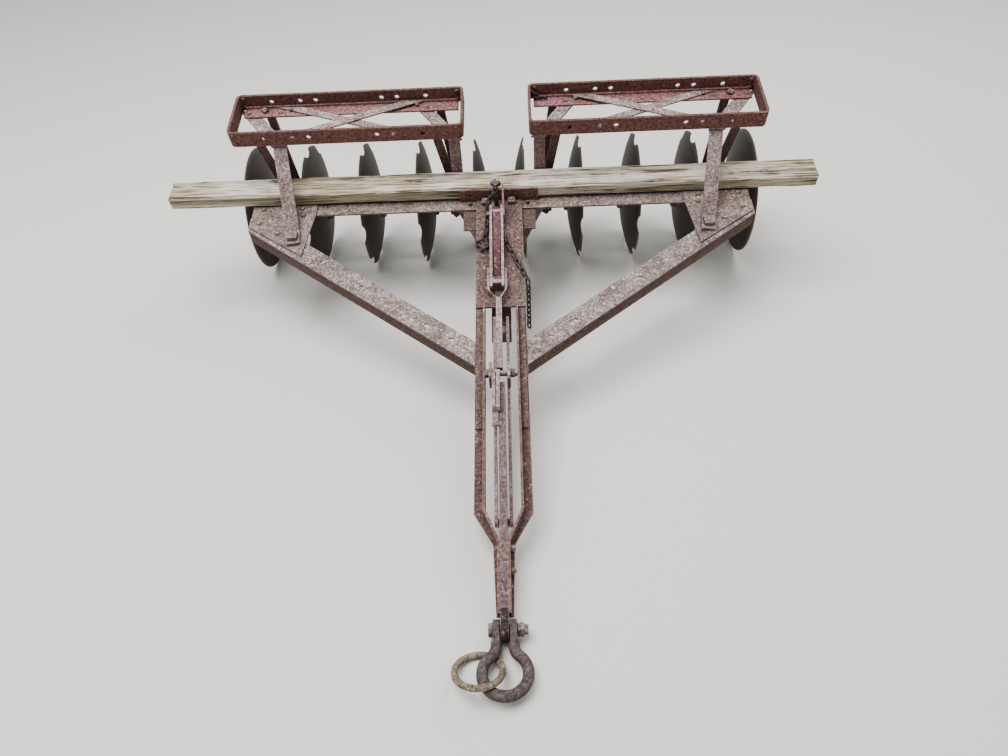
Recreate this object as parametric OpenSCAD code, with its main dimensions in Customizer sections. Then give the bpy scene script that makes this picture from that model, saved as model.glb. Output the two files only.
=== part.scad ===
// Towed disc harrow: two gangs of five dished discs under weight boxes, on a drawbar with a slide.
// The frame is laid out level, axles at height zero, then tipped until the hitch eye meets the floor.

/* [Discs] */
// Disc diameter across the rim, in mm
disc_diameter = 406.4; // [300:1:560]
// Depth of the dish from rim to apex
disc_dish = 38; // [20:1:60]
// Disc wall
disc_wall = 4; // [3:0.5:8]
// Distance from disc to disc along the axle
disc_pitch = 185; // [150:1:230]
// Distance from the middle of the machine to the innermost rim
disc_inset = 80; // [60:1:120]
// Discs on each gang
discs_per_gang = 5; // [3:1:7]
// Notches round each inner disc
notch_count = 8; // [6:1:12]
// Radius of a notch
notch_radius = 24; // [10:1:40]
// Distance of a notch's centre outside the rim
notch_offset = 6; // [0:1:20]

/* [Axles] */
// Width of the square axle
axle_width = 25; // [18:1:32]
// Clearance of the square bore in a disc or spool
axle_clearance = 0.3; // [0.1:0.1:1]
// Diameter of a spool's barrel
spool_diameter = 46; // [38:1:60]
// Diameter of a spool's end flange
spool_flange = 90; // [60:1:130]
// Thickness of a spool's end flange
spool_flange_wall = 9; // [5:1:16]
// Diameter of the end washers
end_washer = 92; // [60:1:130]
// Thickness of the end washers
end_washer_wall = 8; // [5:1:16]
// Width across the flats of the axle nuts
axle_nut = 38; // [26:1:50]
// Height of the axle nuts
axle_nut_height = 18; // [10:1:26]

/* [Bearings and standards] */
// Length of a bearing block along the axle
bearing_length = 76; // [50:1:100]
// Height and depth of a bearing block
bearing_size = 92; // [70:1:130]
// Play between spool and bearing
bearing_clearance = 0.1; // [0.05:0.05:0.5]
// Width of a standard's legs
standard_width = 36; // [24:1:50]
// Thickness of a standard's legs
standard_wall = 10; // [6:1:16]
// How far the outer standard leans out at the weight box
outer_lean = 24; // [0:1:50]
// How far the inner standard leans out at the weight box
inner_lean = 43; // [0:1:60]

/* [Weight boxes] */
// Distance from the middle of the machine to a box's inner end
box_inset = 98; // [80:1:150]
// Length of a box
box_length = 704; // [500:1:900]
// Depth of a box from front to back
box_depth = 184; // [120:1:260]
// Distance of a box's front face before the axle
box_front = 117; // [60:1:150]
// Height of a box's lower edge above the axle
box_height = 358; // [300:1:450]
// Height of the box rails
rail_height = 50; // [30:1:80]
// Thickness of the box rails
rail_wall = 8; // [5:1:12]
// Outer radius of the bent corners
rail_corner = 18; // [10:1:40]
// Diameter of the holes in the long rails
rail_hole = 14; // [8:1:20]
// Width of the angle rail's flange inside the box
angle_rail_flange = 44; // [25:1:60]
// Height of the angle rail's leg
angle_rail_leg = 36; // [25:1:45]
// Thickness of the angle rail
angle_rail_wall = 6; // [4:1:8]
// Width of the crossed straps
cross_strap_width = 26; // [16:1:40]
// Thickness of the crossed straps
cross_strap_wall = 6; // [4:1:8]

/* [Pull straps] */
// Width of the outer pull strap
outer_strap_width = 40; // [28:1:60]
// Thickness of the outer pull strap
outer_strap_wall = 10; // [6:1:14]
// Width of the inner pull strap
inner_strap_width = 50; // [36:1:64]
// Thickness of the inner pull strap
inner_strap_wall = 8; // [6:1:12]
// Outer radius of a strap's eye
strap_eye = 32; // [26:1:44]
// Length of the outer strap's square end before its pivot
strap_end = 26; // [22:1:40]
// How far the outer strap's front end stands outside its pivot at the weight box
outer_strap_out = 34; // [0:1:60]
// Distance of the inner strap's rise from the box's inner end
inner_strap_in = 30; // [26:1:60]
// Distance before the axle where the inner strap starts to rise
inner_strap_foot = 150; // [130:1:180]
// How far the strap under a box slants over the box's depth
inner_strap_slant = 112; // [40:1:140]
// Gap between pieces that turn on each other
turning_gap = 0.3; // [0.2:0.1:1]

/* [Frame] */
// Height of the frame's top face above the axle
frame_height = 194; // [180:1:230]
// Thickness of the frame's angle bars and plates
frame_wall = 6; // [4:1:10]
// Distance of the cross bar's front edge before the axle
cross_bar_front = 248; // [230:1:300]
// Width of the cross bar's flange
cross_bar_width = 64; // [40:1:80]
// Height of the cross bar's leg with its flange
cross_bar_leg = 50; // [30:1:55]
// Half length of the cross bar
cross_bar_half = 765; // [700:1:800]
// Distance of the gang pivots from the middle
pivot_out = 621; // [560:1:680]
// Distance of the gang pivots behind the braces' middle lines
pivot_set_back = 24.546; // [10:0.001:30]
// Diameter of the pivot bolts
pivot_bolt = 20; // [14:1:26]
// Clearance of a bolt in its hole
bolt_clearance = 0.1; // [0.05:0.05:0.5]
// Distance before the axle where the braces' middle line meets the drawbar
brace_front = 792; // [740:1:850]
// Distance before the cross bar's front edge where the braces' middle lines end
brace_meet = 16.2; // [5:0.1:30]
// How far a brace stands out beyond the cross bar
brace_overhang = 5; // [2:1:20]
// Width of a brace's flange
brace_width = 64; // [40:1:80]
// Height of a brace's leg with its flange
brace_leg = 50; // [30:1:70]
// Diameter of the bolt holes in braces, cross bar and bracket
frame_hole = 14; // [8:1:20]
// Distance of the cross bar's free holes from the middle
bar_hole_out = 88; // [76:1:120]
// Half length of the splice plate under the cross bar
splice_half = 110; // [80:1:160]
// How far the splice plate runs forward under the drawbar
splice_reach = 80; // [40:1:140]
// Half length of the bracket that holds the timber
bracket_half = 120; // [90:1:180]
// How far a gusset's tip lies inside its pivot
gusset_tip = 31; // [24:1:60]
// How much further in a gusset reaches at the cross bar
gusset_flare = 24; // [0:1:60]
// Length of the slot in the deck plate
deck_slot_length = 120; // [60:1:180]
// Distance of that slot from the deck plate's front edge
deck_slot_set_back = 60; // [30:1:100]
// Half width of that slot
deck_slot_half = 12; // [6:1:20]

/* [Drawbar] */
// Half width of the drawbar over its flanges
drawbar_half = 70; // [55:1:90]
// Half width between the drawbar's webs
web_inner = 42; // [34:1:60]
// Height of the webs above the frame's top face
web_height = 32; // [20:1:50]
// Distance before the axle where the webs start
web_start = 640; // [560:1:700]
// Distance before the axle where the bars bend inward
bend_front = 1253; // [1150:1:1300]
// Length of the bend along the drawbar
bend_length = 77; // [50:1:120]
// Distance before the axle where the bars end
bars_end = 1494; // [1400:1:1550]
// Width of the middle bar
core_width = 18; // [12:1:30]
// Height of the middle bar
core_height = 36; // [24:1:44]
// Distance before the axle where the middle bar starts
core_start = 905; // [850:1:1000]
// Outer radius of the hitch eye
hitch_eye = 28; // [22:1:36]
// Distance of the hitch bolt before the axle
hitch_front = 1524; // [1450:1:1600]
// Diameter of the hitch bolt
hitch_bolt_size = 22; // [16:1:28]

/* [Latch] */
// Distance of the lever's middle to the left of the machine's middle
lever_shift = 8; // [0:1:16]
// Gap between the deck plate and the lever
lever_rise = 6; // [2:1:12]
// Height of the lever's bars
lever_height = 28; // [16:1:40]
// Thickness of the lever's bars
lever_wall = 7; // [4:1:10]
// Clear width between the lever's bars
lever_width = 26; // [16:1:34]
// Distance of the lever's rear end before the axle
lever_back = 272; // [255:1:300]
// Distance of the lever's front end before the axle
lever_front = 590; // [540:1:620]
// Distance of the upright bolt behind the lever before the axle
post_front = 235; // [225:1:246]
// Height of the upright bolt above the deck plate
post_height = 96; // [60:1:120]
// Diameter of the upright bolt
post_bolt = 14; // [10:1:20]
// Distance of the fork's front end before the axle
fork_front = 862; // [840:1:866]
// Distance of the latch pin before the axle
latch_pin_front = 874; // [850:1:900]
// Distance of the latch arm's front end before the axle
arm_front = 1003; // [960:1:1060]

/* [Timber] */
// Half length of the timber
timber_half = 1010; // [850:1:1200]
// Width of the timber
timber_width = 66; // [50:1:70]
// Thickness of the timber
timber_height = 42; // [30:1:60]
// Distance of the timber's front face before the axle
timber_front = 208; // [200:1:215]

/* [Slide] */
// Largest angle of a gang in degrees
gang_angle = 16; // [8:1:17]
// Thickness of a slide bar
slide_wall = 8; // [5:1:12]
// Height of a slide bar
slide_height = 26; // [16:1:34]
// Distance of a slide bar from the middle bar
slide_gap = 5; // [5:1:12]
// Diameter of the slide pin
slide_pin = 20; // [14:1:26]
// Distance before the axle where the slide bars start
slide_start = 664; // [640:1:700]
// Distance before the axle where the slide bars end
slide_end = 1276; // [1200:1:1290]
// Height of the slide head's lower face above the axle
slide_head_height = 120; // [110:1:128]
// Thickness of the slide head
slide_head_wall = 10; // [6:1:14]
// Extra play of the pin along a strap's slotted eye
eye_play = 6; // [5:1:9]

/* [Hitch] */
// Diameter of the clevis bar
clevis_bar = 25; // [18:1:30]
// Radius of the clevis bow at its middle line
bow_radius = 54; // [44:1:70]
// How far the bow turns on each side before it runs straight to its ear, in degrees
bow_turn = 130; // [120:1:140]
// Thickness of a clevis ear
ear_wall = 16; // [10:1:22]
// Outer radius of a clevis ear
ear_radius = 22; // [18:1:28]
// Diameter of the seats for the bolt's head and nut
bolt_seat = 51; // [44:1:60]
// Radius of the loose link at its middle line
link_radius = 48; // [44:1:60]
// Diameter of the loose link's bar
link_bar = 13; // [8:1:16]

/* [Hidden] */
$fn = 48;
eps = 1;
disc_radius = disc_diameter / 2;
dish_radius = (disc_radius * disc_radius + disc_dish * disc_dish) / (2 * disc_dish);
last_disc = discs_per_gang - 1;
gang_end = disc_inset + last_disc * disc_pitch;
axle_start = disc_inset - disc_dish - end_washer_wall - axle_nut_height - 4;
axle_end = gang_end - disc_dish + disc_wall + end_washer_wall + axle_nut_height + 4;
box_top = box_height + rail_height;
box_outer = box_inset + box_length;
box_back = box_depth - box_front;
outer_bearing = gang_end - disc_dish - (disc_pitch - disc_wall) / 2;
inner_bearing = disc_inset - disc_dish + disc_wall + (disc_pitch - disc_wall) / 2;
// shares of a box's length where the rail holes are, from its outer end
rail_hole_places = [0.147, 0.274, 0.343, 0.635, 0.703, 0.83];
gusset_top = frame_height + frame_wall;
cross_bar_rear = cross_bar_front - cross_bar_width;
// rise of the braces' middle lines for each unit outward
brace_run = cross_bar_half + brace_overhang - drawbar_half;
brace_slope = (brace_front - cross_bar_front - brace_meet) / brace_run;
brace_half = brace_width / 2 * sqrt(1 + brace_slope * brace_slope);
pivot_front = brace_front - brace_slope * (pivot_out - drawbar_half) - pivot_set_back;
// shares of a brace's run where its free holes are, from the drawbar
brace_hole_places = [0.0943, 0.1943, 0.4714];
nose_inner = core_width / 2 + 0.2;
hitch_height = frame_height + 10;
ear_inner = core_width / 2 + 2;
outer_strap_low = gusset_top + turning_gap;
// straps stack under the slide head, the left one above the right one
left_eye_top = slide_head_height - 1;
right_eye_top = left_eye_top - inner_strap_wall - 1;
// the gangs swing evenly about the place where their eyes are furthest forward
slide_travel = 2 * pivot_out * tan(gang_angle / 2);
slide_pin_front = pivot_front + slide_travel / 2;
slide_top = frame_height - frame_wall;
lever_x = -lever_shift;
lever_low = gusset_top + lever_rise;
lever_high = lever_low + lever_height;
// clevis: the bow turns past a half circle, then straight necks run back to the ears
ear_middle = ear_inner + ear_wall / 2;
neck_length = (bow_radius * sin(bow_turn) - ear_middle) / -cos(bow_turn);
neck_back = neck_length * sin(bow_turn) - bow_radius * cos(bow_turn);
ear_back = 20;
bow_middle = neck_back + ear_back;
bow_reach = bow_middle + bow_radius;
// the loose link passes over the bow in front and under it behind, where it touches the floor
link_rise = (clevis_bar + link_bar) / 2 + 2;
link_tilt = asin(link_rise / link_radius);
link_low = bow_middle - link_radius * cos(link_tilt);
// park pitch: the hitch eye touches the floor with the axles at disc radius
park_pitch = asin((disc_radius - hitch_eye) / norm([hitch_front, hitch_height]))
    + atan(hitch_height / hitch_front);
hitch_reach_y = hitch_front * cos(park_pitch) + hitch_height * sin(park_pitch);
clevis_dip = asin((hitch_eye - link_rise - link_bar / 2 - turning_gap) / link_low);
front_reach = hitch_reach_y + bow_reach * cos(clevis_dip) + clevis_bar / 2;
park_shift = (front_reach - disc_radius) / 2;
sides = ["left", "right"];

// frame layout tipped to the parked pose
module parked() {
    translate([0, park_shift, disc_radius]) rotate([park_pitch, 0, 0]) children();
}

module on_left() {
    mirror([1, 0, 0]) children();
}

// box between two corners
module block(low, high) {
    translate(low) cube(high - low);
}

// cylinder along X between two places, on the line through y and z
module bar_x(x0, x1, y, z, size) {
    translate([x0, y, z]) rotate([0, 90, 0]) cylinder(h = x1 - x0, d = size);
}

module plate(points, z0, z1) {
    translate([0, 0, z0]) linear_extrude(z1 - z0) polygon(points);
}

// side profile with points as [y, z], extruded along X
module profile_x(points, x0, x1) {
    translate([x0, 0, 0]) rotate([90, 0, 90]) linear_extrude(x1 - x0) polygon(points);
}

// Frame

module tongue_bar() {
    color("#7c4a46") {
        bend_y = -bend_front;
        nose_y = -bend_front - bend_length;
        nose_outer = nose_inner + frame_wall;
        // flange
        plate([
            [web_inner, -cross_bar_front - 0.2], [drawbar_half, -cross_bar_front - 0.2],
            [drawbar_half, bend_y], [nose_outer + 10, nose_y], [nose_outer + 4, -bars_end],
            [nose_inner, -bars_end], [nose_inner, nose_y], [web_inner, bend_y]
        ], frame_height - frame_wall, frame_height);
        // web
        plate([
            [web_inner, -web_start], [web_inner + frame_wall, -web_start],
            [web_inner + frame_wall, bend_y - 2], [nose_outer, nose_y - 2],
            [nose_outer, -bars_end], [nose_inner, -bars_end],
            [nose_inner, nose_y], [web_inner, bend_y]
        ], frame_height - frame_wall, frame_height + web_height);
    }
}

module tongue_core() {
    color("#8c7073") {
        half = core_width / 2;
        top = frame_height + web_height;
        difference() {
            union() {
                block([-half, -hitch_front, top - core_height], [half, -core_start, top]);
                bar_x(-half, half, -hitch_front, hitch_height, 2 * hitch_eye);
            }
            bar_x(-half - eps, half + eps, -hitch_front, hitch_height, hitch_bolt_size + 2 * bolt_clearance);
        }
    }
}

module cross_bar() {
    z = frame_height;
    color("#6e3d3a") difference() {
        union() {
            block([-cross_bar_half, -cross_bar_front, z - frame_wall], [cross_bar_half, -cross_bar_rear, z]);
            block([-cross_bar_half, -cross_bar_rear - frame_wall, z - cross_bar_leg],
                [cross_bar_half, -cross_bar_rear, z]);
        }
        for (x = [-bar_hole_out, bar_hole_out]) upright_hole(x, -cross_bar_front + 21);
    }
}

module upright_hole(x, y) {
    translate([x, y, 0]) cylinder(h = 2 * frame_height, d = frame_hole);
}

// y of the brace's middle line at a distance out
function brace_y(x) = -brace_front + brace_slope * (x - drawbar_half);
function brace_x(y) = drawbar_half + (y + brace_front) / brace_slope;

module brace() {
    x0 = drawbar_half + 0.3;
    x1 = cross_bar_half + brace_overhang;
    y1 = -cross_bar_front - 0.3;
    leg = frame_wall * sqrt(1 + brace_slope * brace_slope);
    color("#8a5a55") difference() {
        union() {
            plate([
                [x0, brace_y(x0) + brace_half], [brace_x(y1 - brace_half), y1], [x1, y1],
                [x1, brace_y(x1) - brace_half], [x0, brace_y(x0) - brace_half]
            ], frame_height - frame_wall, frame_height);
            plate([
                [x0, brace_y(x0) - brace_half + leg], [x1, brace_y(x1) - brace_half + leg],
                [x1, brace_y(x1) - brace_half], [x0, brace_y(x0) - brace_half]
            ], frame_height - brace_leg, frame_height);
            // lap under the drawbar's flange
            block([web_inner + 2, -brace_front - brace_half + leg, frame_height - 2 * frame_wall],
                [x0 + 60, -brace_front + brace_half - leg, frame_height - frame_wall]);
        }
        pivot_hole();
        for (share = brace_hole_places) {
            x = drawbar_half + share * brace_run;
            upright_hole(x, brace_y(x));
        }
    }
}

module pivot_hole() {
    translate([pivot_out, -pivot_front, 0]) cylinder(h = 2 * frame_height, d = pivot_bolt + 2 * bolt_clearance);
}

module gusset() {
    tip_x = pivot_out - gusset_tip;
    // the gusset ends just before the timber
    back_y = -timber_front - 1;
    color("#7c4a46") difference() {
        plate([
            [cross_bar_half, back_y], [cross_bar_half, brace_y(cross_bar_half) - brace_half + 12],
            [tip_x, brace_y(tip_x) - brace_half + 20], [tip_x - gusset_flare, -cross_bar_front],
            [tip_x - gusset_flare, back_y]
        ], frame_height, gusset_top);
        pivot_hole();
    }
}

module deck_plate() {
    slot_front = -web_start + deck_slot_set_back;
    color("#8c7073") difference() {
        block([-drawbar_half, -web_start + 1, frame_height], [drawbar_half, -timber_front - frame_wall - 1, gusset_top]);
        block([-deck_slot_half, slot_front, frame_height - eps],
            [deck_slot_half, slot_front + deck_slot_length, gusset_top + eps]);
    }
}

module splice_plate() {
    z = frame_height - frame_wall;
    color("#5f3431")
        difference() {
            block([-splice_half, -cross_bar_front - splice_reach, z - frame_wall],
                [splice_half, -cross_bar_rear - frame_wall, z]);
            for (x = [-bar_hole_out, bar_hole_out]) upright_hole(x, -cross_bar_front + 21);
        }
}

module beam_bracket() {
    y1 = -timber_front;
    // the base runs under the timber, the leg stands before it
    color("#8a4a44") difference() {
        union() {
            block([-bracket_half, y1 - frame_wall, frame_height], [bracket_half, -cross_bar_rear, gusset_top - 0.2]);
            block([-bracket_half, y1 - frame_wall, frame_height], [bracket_half, y1 - 0.3, gusset_top + timber_height - 2]);
        }
        for (x = [-bar_hole_out, bar_hole_out])
            translate([x, y1 + eps, gusset_top + timber_height * 0.5])
                rotate([90, 0, 0]) cylinder(h = frame_wall + 2 * eps, d = frame_hole);
    }
}

module timber_beam() {
    color("#a89e86")
        block([-timber_half, -timber_front, gusset_top],
            [timber_half, timber_width - timber_front, gusset_top + timber_height]);
}

module pivot_bolt_piece() {
    head = 30;
    strap_top = outer_strap_low + outer_strap_wall;
    color("#5a4a44") translate([pivot_out, -pivot_front, 0]) {
        translate([0, 0, frame_height - frame_wall - 12]) cylinder(h = strap_top - frame_height + frame_wall + 24, d = pivot_bolt);
        block([-head / 2, -head / 2, strap_top + turning_gap], [head / 2, head / 2, strap_top + 12]);
        block([-head / 2, -head / 2, frame_height - frame_wall - 14], [head / 2, head / 2, frame_height - frame_wall]);
    }
}

// Latch on the drawbar

module trip_lever() {
    color("#7a4a48") {
        half = lever_width / 2;
        for (x = [lever_x - half - lever_wall, lever_x + half])
            block([x, -lever_front, lever_low], [x + lever_wall, -lever_back, lever_high]);
        block([lever_x - half, -lever_front + 40, lever_low + 4], [lever_x + half, -lever_back - 20, lever_low + 10]);
        // lugs that stand on the deck plate and carry the lever
        for (y = [lever_back + 12, lever_front - 40])
            block([lever_x - half, -y - 24, gusset_top], [lever_x + half, -y, lever_high - 6]);
        // upright on the right bar, beside the post
        up = gusset_top + post_height - 4;
        profile_x([
            [-lever_back - 40, gusset_top], [10 - lever_back, gusset_top], [7 - post_front, up],
            [-9 - post_front, up], [-lever_back - 18, lever_high - 2], [-lever_back - 40, lever_high - 2]
        ], lever_x + half + lever_wall - 1, lever_x + half + lever_wall + 4);
        // post with its square nut, on the deck plate
        translate([lever_x, -post_front, gusset_top]) {
            cylinder(h = post_height, d = post_bolt);
            nut_half = 0.8 * post_bolt;
            translate([0, 0, post_height - 18]) rotate([0, 0, 45])
                block([-nut_half, -nut_half, 0], [nut_half, nut_half, 14]);
        }
    }
}

module link_fork() {
    color("#8c6a66") {
        z0 = lever_low;
        z1 = lever_high - 6;
        inside = lever_width / 2 + lever_wall + 1;
        // two arms beside the lever that meet in a doubled bar
        for (s = [-1, 1])
            plate([
                [lever_x + s * inside, -lever_front + 70], [lever_x + s * (inside + lever_wall), -lever_front + 70],
                [lever_x + s * (inside + lever_wall), -lever_front - 2], [s * lever_wall, -lever_front - 66],
                [s * lever_wall, -fork_front], [0, -fork_front], [0, -lever_front - 66],
                [lever_x + s * inside, -lever_front + 2]
            ], z0, z1);
    }
}

module latch_arm() {
    color("#7a4a48") {
        z0 = frame_height + web_height;
        for (s = [-1, 1])
            block([s * 20 - 4, -latch_pin_front - 26, z0 - 38], [s * 20 + 4, -latch_pin_front + 26, z0 + 14]);
        bar_x(-web_inner, web_inner, -latch_pin_front, z0 - 14, 16);
        // channel that lies on the middle bar
        block([-16, -arm_front, z0], [16, -latch_pin_front - 26, z0 + 5]);
        for (s = [-1, 1])
            block([s * 14 - 2, -arm_front, z0], [s * 14 + 2, -latch_pin_front - 20, z0 + 18]);
    }
}

// Slide

module slide_bars() {
    x0 = core_width / 2 + slide_gap;
    color("#8c6a66") {
        for (s = [-1, 1])
            mirror([s < 0 ? 1 : 0, 0, 0])
                block([x0, -slide_end, slide_top - slide_height], [x0 + slide_wall, -slide_start, slide_top]);
        for (y = [slide_end, slide_start + 40])
            block([-x0 - slide_wall / 2, -y, slide_top - slide_height],
                [x0 + slide_wall / 2, 20 - y, slide_top - slide_height + 8]);
    }
}

module slide_head() {
    x1 = core_width / 2 + slide_gap + slide_wall;
    top = slide_head_height + slide_head_wall;
    bars_low = slide_top - slide_height;
    pin_low = right_eye_top - inner_strap_wall - 1;
    color("#5f4a44") {
        block([-x1 - 6, -slide_start - 40, slide_head_height], [x1 + 6, 26 - slide_pin_front, top]);
        block([-x1, -slide_start - 40, top - eps], [x1, -slide_start, bars_low]);
        translate([0, -slide_pin_front, pin_low - 8]) cylinder(h = top - pin_low + 16, d = slide_pin);
        translate([0, -slide_pin_front, pin_low - 8]) cylinder(h = 8, d = slide_pin + 20);
    }
}

// Gang frames, right hand

module weight_box() {
    color("#7a3f3a") difference() {
        translate([0, 0, box_height]) linear_extrude(rail_height) difference() {
            rounded_rect(box_inset, -box_front, box_outer, box_back, rail_corner);
            rounded_rect(box_inset + rail_wall, -box_front + rail_wall, box_outer - rail_wall,
                box_back - rail_wall, rail_corner - rail_wall);
        }
        for (share = rail_hole_places)
            translate([box_outer - share * box_length, box_back + eps, box_height + rail_height / 2])
                rotate([90, 0, 0]) cylinder(h = box_depth + 2 * eps, d = rail_hole);
    }
}

module rounded_rect(x0, y0, x1, y1, r) {
    translate([x0 + r, y0]) square([x1 - x0 - 2 * r, y1 - y0]);
    translate([x0, y0 + r]) square([x1 - x0, y1 - y0 - 2 * r]);
    for (x = [x0 + r, x1 - r], y = [y0 + r, y1 - r]) translate([x, y]) circle(r);
}

module angle_rail() {
    y1 = box_back - rail_wall;
    x0 = box_inset + rail_corner;
    x1 = box_outer - rail_corner;
    color("#94706c") {
        block([x0, y1 - angle_rail_flange, box_height], [x1, y1, box_height + angle_rail_wall]);
        block([x0, y1 - angle_rail_wall, box_height], [x1, y1, box_height + angle_rail_leg]);
    }
}

// each row: [share of the length at the back, share at the front]
cross_strap_rows = [[0.32, 0.62], [0.74, 0.42]];

module cross_straps() {
    z0 = box_height + angle_rail_wall;
    y_back = box_back - rail_wall - angle_rail_wall - 8;
    y_front = -box_front + rail_wall;
    color("#94706c") {
        for (row = cross_strap_rows) {
            back_x = box_outer - row[0] * box_length;
            front_x = box_outer - row[1] * box_length;
            half = cross_strap_width / 2 / cos(atan((back_x - front_x) / (y_back - y_front)));
            plate([
                [back_x - half, y_back], [back_x + half, y_back], [front_x + half, y_front], [front_x - half, y_front]
            ], z0, z0 + cross_strap_wall);
            block([front_x - half, y_front, z0], [front_x + half, y_front + cross_strap_wall, z0 + 30]);
        }
    }
}

// strap inside a box, just below its rails
module box_diagonal(back_x, front_x, width) {
    y_back = box_back - rail_wall - 4;
    half = width / 2 / cos(atan((back_x - front_x) / (y_back + box_front)));
    plate([
        [back_x - half, y_back], [back_x + half, y_back], [front_x + half, -box_front], [front_x - half, -box_front]
    ], box_height - inner_strap_wall, box_height);
}

module outer_strap() {
    z0 = outer_strap_low;
    z1 = z0 + outer_strap_wall;
    top = box_height - inner_strap_wall;
    front_x = pivot_out + outer_strap_out;
    swing = -atan((front_x - pivot_out) / (pivot_front - box_front));
    reach = (pivot_front - box_front) / cos(swing);
    half = outer_strap_width / 2;
    color("#7c4a46") {
        difference() {
            translate([pivot_out, -pivot_front, 0]) rotate([0, 0, swing])
                profile_x([
                    [-strap_end, z0], [strap_end, z0], [reach - 6, top - outer_strap_wall + 2],
                    [reach + 22, top - outer_strap_wall + 2], [reach + 22, top], [reach - 10, top],
                    [strap_end - 4, z1], [-strap_end, z1]
                ], -half, half);
            pivot_hole();
        }
        box_diagonal(box_outer - 24, front_x, outer_strap_width);
    }
}

// top_z: upper face of the flat part that ends in the slotted eye
module inner_strap(top_z) {
    low = top_z - inner_strap_wall;
    rise_x = box_inset + inner_strap_in;
    half = inner_strap_width / 2;
    eye_y = -slide_pin_front;
    slot = slide_pin + 2;
    foot_y = -inner_strap_foot;
    color("#94706c") {
        difference() {
            union() {
                plate([
                    [rise_x + half, foot_y], [rise_x + half, foot_y - 40], [0.9 * strap_eye, eye_y - 12],
                    [-0.75 * strap_eye, eye_y + 20], [rise_x - half, foot_y - 45], [rise_x - half, foot_y]
                ], low, top_z);
                translate([0, eye_y, low]) cylinder(h = inner_strap_wall, r = strap_eye);
            }
            for (x = [-eye_play, eye_play])
                translate([x, eye_y, low - eps]) cylinder(h = inner_strap_wall + 2 * eps, d = slot);
            block([-eye_play, eye_y - slot / 2, low - eps], [eye_play, eye_y + slot / 2, top_z + eps]);
        }
        profile_x([
            [foot_y - 4, low], [foot_y + 8, low], [-box_front + 16, box_height - inner_strap_wall],
            [-box_front + 6, box_height - inner_strap_wall], [foot_y - 2, top_z + 4], [foot_y - 4, top_z]
        ], rise_x - half, rise_x + half);
        // clear of the inner standard's front leg
        box_diagonal(rise_x - 4 + inner_strap_slant, rise_x - 4, outer_strap_width - 4);
    }
}

// two legs and a bearing block; lean is how far the top stands out
module standard(x, lean) {
    half = standard_width / 2;
    front = -box_front + rail_wall;
    back = box_back - rail_wall - 10;
    block_half = bearing_size / 2;
    angle = atan(lean / box_height);
    color("#5c2c2a") difference() {
        union() {
            translate([x, 0, 0]) rotate([0, angle, 0]) intersection() {
                union() {
                    profile_x([
                        [front, box_top + 20], [front + standard_wall, box_top + 20],
                        [front + standard_wall, box_height - 14], [-block_half + 14, block_half - 6],
                        [-block_half + 2, block_half - 6], [front, box_height - 14]
                    ], -half, half);
                    profile_x([
                        [back, box_height + 60], [back, box_height - 14], [block_half - 14, block_half - 6],
                        [block_half - 2, block_half - 6], [back - standard_wall + 22, box_height - 14],
                        [back - standard_wall + 22, box_height + 60]
                    ], -half, half);
                }
                // upper ends cut level with the box
                rotate([0, -angle, 0]) union() {
                    block([-box_height, -box_height, 0], [box_height, 0, box_top - 10]);
                    block([-box_height, -eps, 0], [box_height, box_height, box_height]);
                }
            }
            block([x - bearing_length / 2, -block_half, -block_half], [x + bearing_length / 2, block_half, block_half]);
        }
        bar_x(x - bearing_length, x + bearing_length, 0, 0, spool_diameter + 2 * bearing_clearance);
    }
}

// Disc gangs, right hand

module axle_square(x0, x1, width) {
    block([x0, -width / 2, -width / 2], [x1, width / 2, width / 2]);
}

module hexagon_nut(x0, x1) {
    translate([x0, 0, 0]) rotate([0, 90, 0]) linear_extrude(x1 - x0)
        polygon([for (i = [0:5]) axle_nut / sqrt(3) * [cos(60 * i), sin(60 * i)]]);
}

module axle() {
    color("#4a3a34") {
        axle_square(axle_start, axle_end, axle_width);
        hexagon_nut(axle_start + 4, disc_inset - disc_dish - end_washer_wall - 0.1);
        hexagon_nut(gang_end - disc_dish + disc_wall + end_washer_wall + 2.2, axle_end - 4);
    }
}

// sphere on which the dished wall of a disc lies
module dish_sphere(rim_x, radius) {
    translate([rim_x - disc_dish + dish_radius, 0, 0]) sphere(radius, $fn = 160);
}

module square_bore(x0, x1) {
    axle_square(x0, x1, axle_width + 2 * axle_clearance);
}

module spools() {
    color("#463630") difference() {
        union() {
            for (i = [0:last_disc - 1]) {
                x0 = disc_inset + i * disc_pitch - disc_dish + disc_wall;
                x1 = x0 + disc_pitch - disc_wall;
                intersection() {
                    union() {
                        bar_x(x0, x1, 0, 0, spool_diameter);
                        bar_x(x0, x0 + spool_flange_wall, 0, 0, spool_flange);
                        bar_x(x1 - spool_flange_wall, x1, 0, 0, spool_flange);
                    }
                    dish_sphere(disc_inset + i * disc_pitch, dish_radius - disc_wall - 0.1);
                }
            }
            x2 = gang_end - disc_dish + disc_wall;
            intersection() {
                bar_x(x2, x2 + end_washer_wall + 2, 0, 0, end_washer);
                dish_sphere(gang_end, dish_radius - disc_wall - 0.1);
            }
            bar_x(disc_inset - disc_dish - end_washer_wall, disc_inset - disc_dish - 0.1, 0, 0, end_washer);
        }
        square_bore(axle_start - eps, axle_end + eps);
    }
}

module disc_shell(rim_x) {
    intersection() {
        difference() {
            dish_sphere(rim_x, dish_radius);
            dish_sphere(rim_x, dish_radius - disc_wall);
        }
        bar_x(rim_x - disc_dish - eps, rim_x + 2 * disc_wall, 0, 0, disc_diameter);
    }
}

module plain_disc() {
    color("#3a2c28") difference() {
        disc_shell(gang_end);
        square_bore(gang_end - 2 * disc_dish, gang_end + disc_dish);
    }
}

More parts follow.
